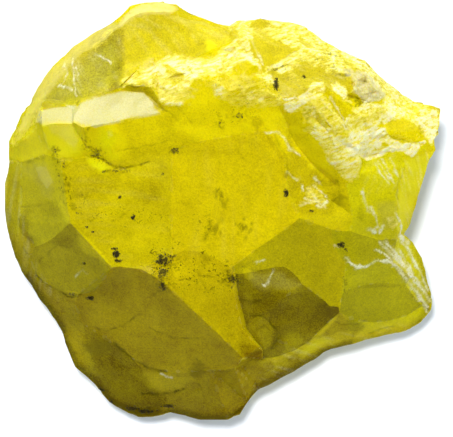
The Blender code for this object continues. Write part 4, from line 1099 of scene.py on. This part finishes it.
def crease_gap(points, triangles, creases):
    """Distance of every corner from the nearest crease, mm."""
    edges, _ = edge_table(triangles)
    marks = np.unique(edges[creases])
    tree = kdtree.KDTree(len(marks))
    for order, corner in enumerate(marks):
        tree.insert(points[corner], order)
    tree.balance()
    return np.array([tree.find(point)[2] for point in points])


def fine_mesh():
    """The solid's net, smoothed and split: corners, triangles, their tags, and each corner's crease gap."""
    points, triangles = read_solid()
    tags = facet_tags(points, triangles)
    creases = find_creases(points, triangles, tags)
    for _ in range(SMOOTH_ROUNDS):
        points, triangles, tags, creases = smooth_split(points, triangles, tags, creases)
    points, triangles, tags, creases = refine(points, triangles, tags, creases, wanted_edge)
    return points, triangles, tags, crease_gap(points, triangles, creases)


def corners_of(triangles, which, count):
    """Whether each corner belongs to one of the chosen triangles."""
    chosen = np.zeros(count, bool)
    chosen[np.unique(triangles[which])] = True
    return chosen


def draw_looks(points, places, display, side, gap):
    """What is drawn at each corner, by name: 0 to 1, and for stripe and shade below 0 as well."""
    zones = {"frost": FROST_AND_LIGHT_ZONES, "cream": CREAM_AND_SHEEN_ZONES, "crust": CRUST_ZONES, "smoke": SMOKE_ZONES,
             "glow": PAINTED_GLOW_ZONES, "haze": HAZE_AND_SHEEN_ZONES, "pepper": PEPPER_ZONES, "matt": MATT_ZONES}
    drawn = {look: painted(np.zeros(len(points)), places, rows, SEEDS[look]) for look, rows in zones.items()}
    smudges = spot_mask(points, places, SMUDGES, SEEDS["smudge"])
    drawn["smoke"] = np.maximum(drawn["smoke"], smudges)
    drawn["stripe"] = striped(places, STRIPE_ZONES, SEEDS["stripe"])
    drawn["shade"] = sum(value * mask for value, mask in zone_masks(places, SHADE_ZONES, SEEDS["shade"]))
    drawn["crack"] = line_mask(points, places, CRACKS, SEEDS["crack"])
    drawn["scratch"] = line_mask(points, places, SCRATCHES, SEEDS["scratch"])
    drawn["dirt"] = spot_mask(points, places, DIRT, SEEDS["dirt"]) * DIRT_STRENGTH
    drawn = {look: amount * display for look, amount in drawn.items()}
    side_frost = ease(layered(points, *GROUND_NOISE["side frost"]), *SIDE_FROST_RANGE) * side
    drawn["frost"] = np.maximum(drawn["frost"], side_frost * SIDE_FROST)
    drawn["wear"] = (1 - ease(gap, 0.0, WEAR_REACH)) * np.clip(noise(points, *GROUND_NOISE["wear"]), 0, 1)
    return drawn


def hackly(flaked):
    """Height of broken ground, about -1 to 1."""
    kinds = {"large hackles": chips, "small hackles": chips, "hackle grains": noise}
    return sum(kind(flaked, *GROUND_NOISE[name]) * HACKLE_SHARES[name] for name, kind in kinds.items())


def raise_relief(points, flaked, drawn, hackle, side, open_ground):
    """How far each corner stands out along its normal, mm."""
    broken = np.maximum(drawn["frost"], side * SIDE_BROKEN)
    ripple = layered(points, *GROUND_NOISE["ripple"]) * RIPPLE_RELIEF
    chipped = chips(flaked, *GROUND_NOISE["chips"]) * CHIP_RELIEF
    relief = broken * hackle * HACKLE_RELIEF + open_ground * (ripple + chipped)
    relief += drawn["crust"] * knobs(points, *GROUND_NOISE["knobs"]) * CRUST_RELIEF
    relief += noise(points, *GROUND_NOISE["rough"]) * ROUGH_RELIEF * open_ground
    relief += noise(points, *GROUND_NOISE["swell"]) * SWELL_RELIEF
    for look, height in DRAWN_RELIEF.items():
        relief += drawn[look] * height
    return relief * ease(points[:, 2], 0.0, FADE_HEIGHT)


def move_corners(points, normals, relief, angle, share):
    """The corners with their relief, a little sideways drift and the rim's moves, inside the solid's box."""
    drift = np.stack([noise(points, DRIFT_SIZE, seed) for seed in DRIFT_SEEDS], 1) * DRIFT
    drift *= ease(points[:, 2], 0.0, FADE_HEIGHT)[:, None]
    moved = move_rim(points + normals * relief[:, None] + drift, angle, share)
    low, high = np.array(cad_low) / MM + BOX_MARGIN, np.array(cad_high) / MM - BOX_MARGIN
    low[2] = 0.0
    return np.clip(moved, low, high)


def ground_value(number, places, zones, seed, from_side):
    """The ground's tone (number 0) or green (number 1) at each corner."""
    value = painted(GROUND[number], places, zones, seed)
    return value + (SIDE[number] - value) * from_side


def body_tones(places, triangles, tags, display, angle, share, shade):
    """Tone and green at each triangle's corners: a facet's own, or the ground's, with the painted light and
    shade of the shade zones and a painted shade along the rim's lower half.
    """
    base = np.array([row[:2] for row in FACETS.values()] + [GROUND])[tags[:, 0]]
    ground = (tags[:, :1] < 0) | (tags[:, 1:] == 0)
    from_side = (1 - ease(share, *SIDE_BLEND)) * ~display
    tone = ground_value(0, places, TONE_ZONES, SEEDS["tone"], from_side)
    green = ground_value(1, places, GREEN_ZONES, SEEDS["green"], from_side)
    tone = np.where(ground, tone[triangles], base[:, :1])
    green = np.where(ground, green[triangles], base[:, 1:])
    # painted shade: the rim's lower half is darkened and given a green cast
    turned = np.where(angle < RIM_SHADE_ANGLES[0], angle + 360, angle)
    painted_rim_shade = ease(share, *RIM_SHADE_SHARES) * ease(turned, *RIM_SHADE_ANGLES[:2]) * (1 - ease(turned, *RIM_SHADE_ANGLES[2:]))
    tone = tone + (shade - painted_rim_shade * RIM_PAINTED_SHADE)[triangles]
    return tone, np.maximum(green, painted_rim_shade[triangles] * RIM_SHADE_GREEN)


def build_lump():
    """The visible lump: corners in mm, triangles, and each look at every triangle's corners."""
    points, triangles, tags, gap = fine_mesh()
    display = corners_of(triangles, tags[:, 1] > 0, len(points))
    on_facet = corners_of(triangles, tags[:, 0] >= 0, len(points))
    side = ~display & (points[:, 2] > REST_HEIGHT)
    open_ground = (display & ~on_facet) | side
    places = plan(points)
    drawn = draw_looks(points, places, display, side, gap)
    flaked = points @ FLAKE_STRETCH
    hackle = hackly(flaked)
    relief = raise_relief(points, flaked, drawn, hackle, side, open_ground)
    angle, share = rim_share(points)
    moved = move_corners(points, corner_normals(points, triangles), relief, angle, share)
    shade = drawn["shade"] + drawn["stripe"] * STRIPE_TONE
    tone, green = body_tones(places, triangles, tags, display, angle, share, shade)
    streak = np.maximum(drawn["scratch"], np.clip(drawn["stripe"], 0, 1) * STRIPE_STREAK)
    plain = ("haze", "cream", "crust", "glow", "dirt", "matt", "pepper", "wear")
    looks = {look: drawn[look][triangles] for look in plain}
    looks["tone"] = tone
    looks["green"] = green
    looks["frost"] = (drawn["frost"] * (FROST_LEVEL + FROST_HACKLE * hackle))[triangles]
    looks["smoke"] = np.maximum(drawn["smoke"], drawn["crack"] * CRACK_SMOKE)[triangles]
    looks["streak"] = streak[triangles]
    return moved, triangles, looks


def make_piece(name, points, triangles, looks):
    """A mesh object of points in mm, with each look stored at the triangles' corners."""
    mesh = bpy.data.meshes.new(name)
    mesh.vertices.add(len(points))
    mesh.vertices.foreach_set("co", (points * MM).astype(np.float32).reshape(-1))
    mesh.loops.add(triangles.size)
    mesh.loops.foreach_set("vertex_index", triangles.astype(np.int32).reshape(-1))
    mesh.polygons.add(len(triangles))
    mesh.polygons.foreach_set("loop_start", np.arange(0, triangles.size, 3, dtype=np.int32))
    mesh.update(calc_edges=True)
    for look, values in looks.items():
        layer = mesh.attributes.new(look, "FLOAT", "CORNER")
        layer.data.foreach_set("value", values.astype(np.float32).reshape(-1))
    mesh.validate()
    mesh.set_sharp_from_angle(angle=math.radians(SHARP_DEG))
    piece = bpy.data.objects.new(name, mesh)
    bpy.context.scene.collection.objects.link(piece)
    return piece


# ---------------------------------------------------------------- loose grains of dirt
GRAINS_PER_AREA = 1.6               # grains for each square plan unit of a spot
GRAIN_SIZE = (0.05, 0.16)           # half size, mm
FEWER_IF_CRUMBLED = 0.75
WIDER_IF_CRUMBLED = 0.4
GRAIN_SINK = 0.3                    # how deep a grain sits, as a share of its half size
GRAIN_SQUASH = (0.55, 1.1)
GRAIN_BULGE = (0.75, 1.15)
GRAIN_CORNERS = 12
GRAIN_SIDE = 1.1                    # corners of a grain that lie closer than this share a face
DROP_HEIGHT = 50.0


def grain_shape():
    """The corners and triangles of a twenty-faced grain."""
    golden = (1 + math.sqrt(5)) / 2
    corners = [corner for a in (-1, 1) for b in (-golden, golden)
               for corner in ((0, a, b), (a, b, 0), (b, 0, a))]
    corners = np.array(corners) / math.hypot(1, golden)
    gaps = np.linalg.norm(corners[:, None] - corners[None], axis=2)
    faces = [(p, q, r) for p, q, r in itertools.combinations(range(GRAIN_CORNERS), 3)
             if max(gaps[p, q], gaps[q, r], gaps[r, p]) < GRAIN_SIDE]
    faces = np.array(faces)
    middle = corners[faces].mean(axis=1)
    inward = np.sum(face_normals(corners, faces) * middle, axis=1) < 0
    faces[inward] = faces[inward][:, ::-1]
    return corners, faces


def grain_places(chance):
    """Where the grains of DIRT lie in plan, and their half sizes."""
    places, sizes = [], []
    for _, x, y, wide, high, crumbled in DIRT:
        area = wide * high * math.pi
        count = int(round(area * GRAINS_PER_AREA * (1 - FEWER_IF_CRUMBLED * crumbled)))
        reach = np.sqrt(chance.uniform(0, 1, count)) * (1 + WIDER_IF_CRUMBLED * crumbled)
        turn = chance.uniform(0, 2 * math.pi, count)
        places += list(zip(x + wide * reach * np.cos(turn), y + high * reach * np.sin(turn)))
        sizes += list(chance.uniform(*GRAIN_SIZE, count))
    return places, sizes


def dirt_grains(points, triangles):
    """Angular grains of dirt, sunk in the surface where the spots of DIRT are."""
    chance = np.random.RandomState(SEEDS["grains"])
    tree = BVHTree.FromPolygons([Vector(point) for point in points], triangles.tolist())
    corners, faces = grain_shape()
    all_points, all_faces = [], []
    for (x, y), size in zip(*grain_places(chance)):
        above = ((x - PLAN_ORIGIN[0]) / UNITS_PER_MM, (PLAN_ORIGIN[1] - y) / UNITS_PER_MM, DROP_HEIGHT)
        hit, normal, *_ = tree.ray_cast(Vector(above), Vector((0, 0, -1)))
        if hit is None:
            continue
        squash = chance.uniform(*GRAIN_SQUASH, 3) * size
        shape = corners * chance.uniform(*GRAIN_BULGE, (GRAIN_CORNERS, 1)) * squash
        spin = np.linalg.qr(chance.normal(size=(3, 3)))[0]
        spin[:, 0] *= np.sign(np.linalg.det(spin))
        middle = np.array(hit) - np.array(normal) * size * GRAIN_SINK
        all_faces.append(faces + GRAIN_CORNERS * len(all_points))
        all_points.append(shape @ spin.T + middle)
    return np.concatenate(all_points), np.concatenate(all_faces), {}


# ---------------------------------------------------------------- material
DEEP = (0.20, 0.105, 0.0, 1)
CLEAR = (1.0, 0.83, 0.0, 1)
DEEP_LEMON = (0.20, 0.175, 0.0, 1)
CLEAR_LEMON = (0.98, 0.92, 0.0, 1)
PAINTED_GLOW = (1.0, 0.95, 0.0, 1)
SMOKY = (0.12, 0.095, 0.0, 1)
HAZE_AND_SHEEN = (0.77, 0.72, 0.27, 1)
PALE = (0.98, 0.87, 0.10, 1)
FROSTY = (1.0, 0.94, 0.46, 1)
CREAM_AND_SHEEN = (0.93, 0.83, 0.26, 1)
CHALKY = (1.0, 0.98, 0.62, 1)
CRUSTY = (0.76, 0.73, 0.46, 1)
DIRTY = (0.03, 0.022, 0.002, 1)
GRAIN_DARK = (0.004, 0.003, 0.001, 1)
GRAIN_BROWN = (0.05, 0.035, 0.01, 1)
FLOOR_WHITE = (0.89, 0.91, 0.94, 1)
# size in mm, detail, roughness and stretch of each texture
TEXTURES = {
    "cloud": (5.0, 3.0, 0.5, 1.0),
    "patch": (1.3, 3.0, 0.6, 1.0),
    "grain": (0.28, 2.0, 0.6, 1.0),
    "fine": (0.16, 1.0, 0.5, 1.0),
    "speck": (0.28, 1.0, 0.5, 1.0),
    "flake": (0.42, 3.0, 0.65, 3.5),
    "vein": (3.2, 4.0, 0.6, 1.0),
    "black": (0.6, 2.0, 0.5, 1.0),
}
TEXTURE_RANGE = (0.3, 0.7)          # where most of a texture's values lie
MOTTLING = {"cloud": 0.09, "patch": 0.06, "grain": 0.11, "fine": 0.15}
VEIN_WIDTH = 0.012
VEIN_DEPTH = 0.12
FROST_COLORS = ((0.12, 0.5, PALE), (0.42, 0.80, FROSTY), (0.9, 1.3, CHALKY))   # from, to, colour
WORN_CREAM = 0.12                   # how creamy worn creases are
GRIME = 0.14                        # how much fine grey lies over everything
SMOOTH_ROUGHNESS = 0.25
BROKEN_ROUGHNESS = 0.75
BUMP_STRENGTH = 0.3
BUMP_HEIGHT = 0.0002
REFRACTION = 1.5
SCATTERING = 0.5
SCATTER_RADIUS = (1.0, 0.8, 0.05)
SCATTER_SCALE = 0.0015


class Nodes:
    """Short ways to add and join a material's shader nodes."""

    def __init__(self, name):
        self.material = bpy.data.materials.new(name)
        self.material.use_nodes = True
        self.tree = self.material.node_tree
        self.shader = self.tree.nodes["Principled BSDF"]
        self.place = self.add("ShaderNodeTexCoord").outputs["Object"]

    def add(self, kind, **settings):
        """A new node with its settings."""
        node = self.tree.nodes.new(kind)
        for key, value in settings.items():
            setattr(node, key, value)
        return node

    def put(self, socket, value):
        """Joins a node's output to a socket, or sets a constant there."""
        if isinstance(value, bpy.types.NodeSocket):
            self.tree.links.new(value, socket)
        else:
            socket.default_value = value

    def look(self, name):
        """A look that the mesh stores."""
        return self.add("ShaderNodeAttribute", attribute_name=name).outputs["Fac"]

    def math(self, operation, first, second=0.5, clamp=False):
        """A sum, product or the like of two values."""
        node = self.add("ShaderNodeMath", operation=operation, use_clamp=clamp)
        self.put(node.inputs[0], first)
        self.put(node.inputs[1], second)
        return node.outputs[0]

    def largest(self, first, *others):
        """The largest of several values."""
        for other in others:
            first = self.math("MAXIMUM", first, other)
        return first

    def spread(self, value, low, high, to_low=0.0, to_high=1.0):
        """A value's range from low to high, stretched to another range."""
        node = self.add("ShaderNodeMapRange")
        amounts = {"Value": value, "From Min": low, "From Max": high, "To Min": to_low, "To Max": to_high}
        for key, amount in amounts.items():
            self.put(node.inputs[key], amount)
        return node.outputs[0]

    def texture(self, name):
        """One of TEXTURES; a stretched one runs along the flakes of broken ground."""
        size_mm, detail, rough, stretch = TEXTURES[name]
        place = self.place
        if stretch > 1.0:
            node = self.add("ShaderNodeMapping", vector_type="TEXTURE")
            self.put(node.inputs["Vector"], place)
            node.inputs["Rotation"].default_value = (0, 0, FLAKE_TURN)
            node.inputs["Scale"].default_value = (stretch, 1, 1)
            place = node.outputs[0]
        node = self.add("ShaderNodeTexNoise")
        self.put(node.inputs["Vector"], place)
        node.inputs["Scale"].default_value = 1 / (size_mm * MM)
        node.inputs["Detail"].default_value = detail
        node.inputs["Roughness"].default_value = rough
        return node.outputs["Fac"]

    def blend(self, amount, first, second):
        """A mix of two colours."""
        node = self.add("ShaderNodeMix", data_type="RGBA", blend_type="MIX", clamp_factor=True)
        self.put(node.inputs[0], amount)
        self.put(node.inputs[6], first)
        self.put(node.inputs[7], second)
        return node.outputs[2]


def mottled(n, name, texture, *ranges):
    """A look made uneven by a texture, whose range is given, then what that range turns into."""
    return n.math("MULTIPLY", n.look(name), n.spread(texture, *ranges))


def body_color(n, textures):
    """The colour of clear crystal: its tone and green, mottled, with faint veins inside; the tone also
    carries painted light and shade.
    """
    tone = n.look("tone")
    for name, amount in MOTTLING.items():
        tone = n.math("ADD", tone, n.spread(textures[name], *TEXTURE_RANGE, -amount, amount))
    bend = n.math("ABSOLUTE", n.math("SUBTRACT", textures["vein"], 0.5))
    vein = n.math("MULTIPLY", n.spread(bend, 0.0, VEIN_WIDTH, VEIN_DEPTH, 0.0),
                  n.spread(textures["cloud"], 0.4, 0.6))
    tone = n.math("SUBTRACT", tone, vein, clamp=True)
    return n.blend(n.look("green"), n.blend(tone, DEEP, CLEAR), n.blend(tone, DEEP_LEMON, CLEAR_LEMON))


def filmed_color(n, textures, color, cream):
    """Haze, glow, smoke, streaks and cream over the crystal's colour; the glow is painted light, and the
    haze and cream also carry painted highlight and painted light.
    """
    grain = textures["grain"]
    color = n.blend(mottled(n, "haze", grain, *TEXTURE_RANGE, 0.7, 1.3), color, HAZE_AND_SHEEN)
    color = n.blend(n.look("glow"), color, PAINTED_GLOW)
    color = n.blend(mottled(n, "smoke", grain, 0.3, 0.6, 0.3, 1.3), color, SMOKY)
    color = n.blend(mottled(n, "streak", grain, 0.25, 0.6, 0.1, 1.5), color, CHALKY)
    return n.blend(cream, color, CREAM_AND_SHEEN)


def uneven_frost(n, textures):
    """How frosted each place is, broken up by flakes and grains where there is frost at all."""
    uneven = n.math("ADD", n.spread(textures["flake"], 0.35, 0.65, -0.45, 0.45),
                    n.spread(textures["grain"], *TEXTURE_RANGE, -0.16, 0.16))
    uneven = n.math("MULTIPLY", uneven, n.spread(n.look("frost"), 0.2, 0.9, 0.45, 1.0))
    frosted = n.spread(n.look("frost"), 0.0, 0.3)
    return n.math("ADD", n.look("frost"), n.math("MULTIPLY", frosted, uneven))


def crusted_color(n, textures, color, frost):
    """Frost, pepper, crust, grime and dirt over the rest; the frost also carries painted light in places."""
    for low, high, white in FROST_COLORS:
        color = n.blend(n.spread(frost, low, high), color, white)
    pepper = mottled(n, "pepper", textures["patch"], 0.45, 0.6)
    color = n.blend(n.math("MULTIPLY", pepper, n.spread(textures["speck"], 0.55, 0.62)), color, SMOKY)
    color = n.blend(mottled(n, "crust", textures["grain"], 0.3, 0.65, 0.5, 1.2), color, CRUSTY)
    color = n.blend(n.spread(textures["fine"], 0.35, 0.7, 0.0, GRIME), color, SMOKY)
    return n.blend(n.look("dirt"), color, DIRTY)


def sulfur_look():
    """The lump's material: resinous, a little see-through, dull where it is broken, crusted or dirty."""
    n = Nodes("sulfur")
    textures = {name: n.texture(name) for name in TEXTURES if name != "black"}
    cream = n.math("ADD", n.look("cream"), n.math("MULTIPLY", n.look("wear"), WORN_CREAM))
    cream = n.math("MULTIPLY", n.spread(cream, 0.1, 0.8), n.spread(textures["patch"], 0.3, 0.6, 0.6, 1.0))
    frost = uneven_frost(n, textures)
    color = filmed_color(n, textures, body_color(n, textures), cream)
    n.put(n.shader.inputs["Base Color"], crusted_color(n, textures, color, frost))
    dull = n.largest(frost, cream, *(n.look(name) for name in ("dirt", "crust", "wear", "matt")))
    n.put(n.shader.inputs["Roughness"], n.spread(dull, 0.1, 0.6, SMOOTH_ROUGHNESS, BROKEN_ROUGHNESS))
    n.shader.inputs["IOR"].default_value = REFRACTION
    n.shader.inputs["Subsurface Weight"].default_value = SCATTERING
    n.shader.inputs["Subsurface Radius"].default_value = SCATTER_RADIUS
    n.shader.inputs["Subsurface Scale"].default_value = SCATTER_SCALE
    bump = n.add("ShaderNodeBump")
    bump.inputs["Strength"].default_value = BUMP_STRENGTH
    bump.inputs["Distance"].default_value = BUMP_HEIGHT
    n.put(bump.inputs["Height"], textures["grain"])
    n.put(n.shader.inputs["Normal"], bump.outputs[0])
    return n.material


def dirt_look():
    """Nearly black grains."""
    n = Nodes("dirt")
    n.put(n.shader.inputs["Base Color"], n.blend(n.texture("black"), GRAIN_DARK, GRAIN_BROWN))
    n.shader.inputs["Roughness"].default_value = 0.5
    return n.material


def floor_look():
    """A plain matt white."""
    n = Nodes("floor")
    n.shader.inputs["Base Color"].default_value = FLOOR_WHITE
    n.shader.inputs["Roughness"].default_value = 1.0
    n.shader.inputs["Specular IOR Level"].default_value = 0.0
    return n.material


# ---------------------------------------------------------------- stage
LENS_MM = 1500.0
SENSOR_MM = 36.0
FOCUS_HEIGHT = 0.018
FAR_CLIP = 50.0
FLOOR_SIZE = 8.0
AMBIENT = 0.15
FLOOR_TINT = (0.60, 0.72, 1.0)


def aim(thing, azimuth, elevation):
    """Points a light's beam from a compass direction (0 is +Y, 90 is +X) and a height above the horizon."""
    turn, rise = math.radians(azimuth), math.radians(elevation)
    back = Vector((math.sin(turn) * math.cos(rise), math.cos(turn) * math.cos(rise), math.sin(rise)))
    thing.rotation_euler = back.to_track_quat("Z", "Y").to_euler()


def sun(name, azimuth, elevation, spread, strength, receivers, tint=(1.0, 1.0, 1.0)):
    """A sun that shines on its receivers alone; angles are in degrees."""
    light = bpy.data.lights.new(name, "SUN")
    light.color = tint
    light.energy = strength
    light.angle = math.radians(spread)
    thing = bpy.data.objects.new(name, light)
    bpy.context.scene.collection.objects.link(thing)
    aim(thing, azimuth, elevation)
    group = bpy.data.collections.new(name + "_on")
    for receiver in receivers:
        group.objects.link(receiver)
    thing.light_linking.receiver_collection = group
    return thing


def make_lights(pieces, floor):
    """Soft light from above and behind, a weak fill, a sheen, and the floor's own light and shadow."""
    key = sun("key", azimuth=-12, elevation=42, spread=45, strength=3.2, receivers=pieces)
    key.visible_glossy = False
    fill = sun("fill", azimuth=120, elevation=30, spread=60, strength=1.1, receivers=pieces)
    fill.visible_glossy = False
    glint = sun("glint", azimuth=-27, elevation=33, spread=28, strength=1.0, receivers=pieces)
    glint.visible_diffuse = False
    sun("floor_light", azimuth=-26, elevation=83.2, spread=6, strength=2.9, receivers=[floor])
    sun("floor_fill", azimuth=0, elevation=89, spread=150, strength=2.0, receivers=[floor], tint=FLOOR_TINT)


def make_floor():
    """A large plain floor at the rest face's height."""
    half = FLOOR_SIZE / 2
    corners = [(-half, -half, 0), (half, -half, 0), (half, half, 0), (-half, half, 0)]
    mesh = bpy.data.meshes.new("floor")
    mesh.from_pydata(corners, [], [(0, 1, 2, 3)])
    mesh.materials.append(floor_look())
    floor = bpy.data.objects.new("floor", mesh)
    bpy.context.scene.collection.objects.link(floor)
    return floor


def make_world():
    """A white backdrop that gives off only a little light."""
    world = bpy.data.worlds.new("studio")
    bpy.context.scene.world = world
    world.use_nodes = True
    tree = world.node_tree
    back = tree.nodes["Background"]
    back.inputs["Color"].default_value = (1, 1, 1, 1)
    rays = tree.nodes.new("ShaderNodeLightPath")
    level = tree.nodes.new("ShaderNodeMapRange")
    level.inputs["To Min"].default_value = AMBIENT
    level.inputs["To Max"].default_value = 1.0
    tree.links.new(rays.outputs["Is Camera Ray"], level.inputs["Value"])
    tree.links.new(level.outputs[0], back.inputs["Strength"])
    world.cycles_visibility.glossy = False


def make_camera():
    """A camera far above the plan's middle, whose view is as wide as the plan."""
    data = bpy.data.cameras.new("camera")
    data.lens = LENS_MM
    data.sensor_width = SENSOR_MM
    data.clip_end = FAR_CLIP
    camera = bpy.data.objects.new("camera", data)
    bpy.context.scene.collection.objects.link(camera)
    wide = PLAN_SIZE[0] / UNITS_PER_MM * MM
    centre = ((PLAN_SIZE[0] / 2 - PLAN_ORIGIN[0]) / UNITS_PER_MM * MM,
              (PLAN_ORIGIN[1] - PLAN_SIZE[1] / 2) / UNITS_PER_MM * MM)
    camera.location = (*centre, LENS_MM / SENSOR_MM * wide + FOCUS_HEIGHT)
    bpy.context.scene.camera = camera


make_camera()
lump_parts = build_lump()
lump = make_piece("sulfur_lump", *lump_parts)
lump.data.materials.append(sulfur_look())
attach(lump, "root")
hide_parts(NODE)
dirt = make_piece("dirt_grains", *dirt_grains(*lump_parts[:2]))
dirt.data.materials.append(dirt_look())
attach(dirt, "root")
floor = make_floor()
floor.visible_glossy = False
make_world()
make_lights([lump, dirt], floor)
bpy.context.scene.view_settings.view_transform = "Standard"
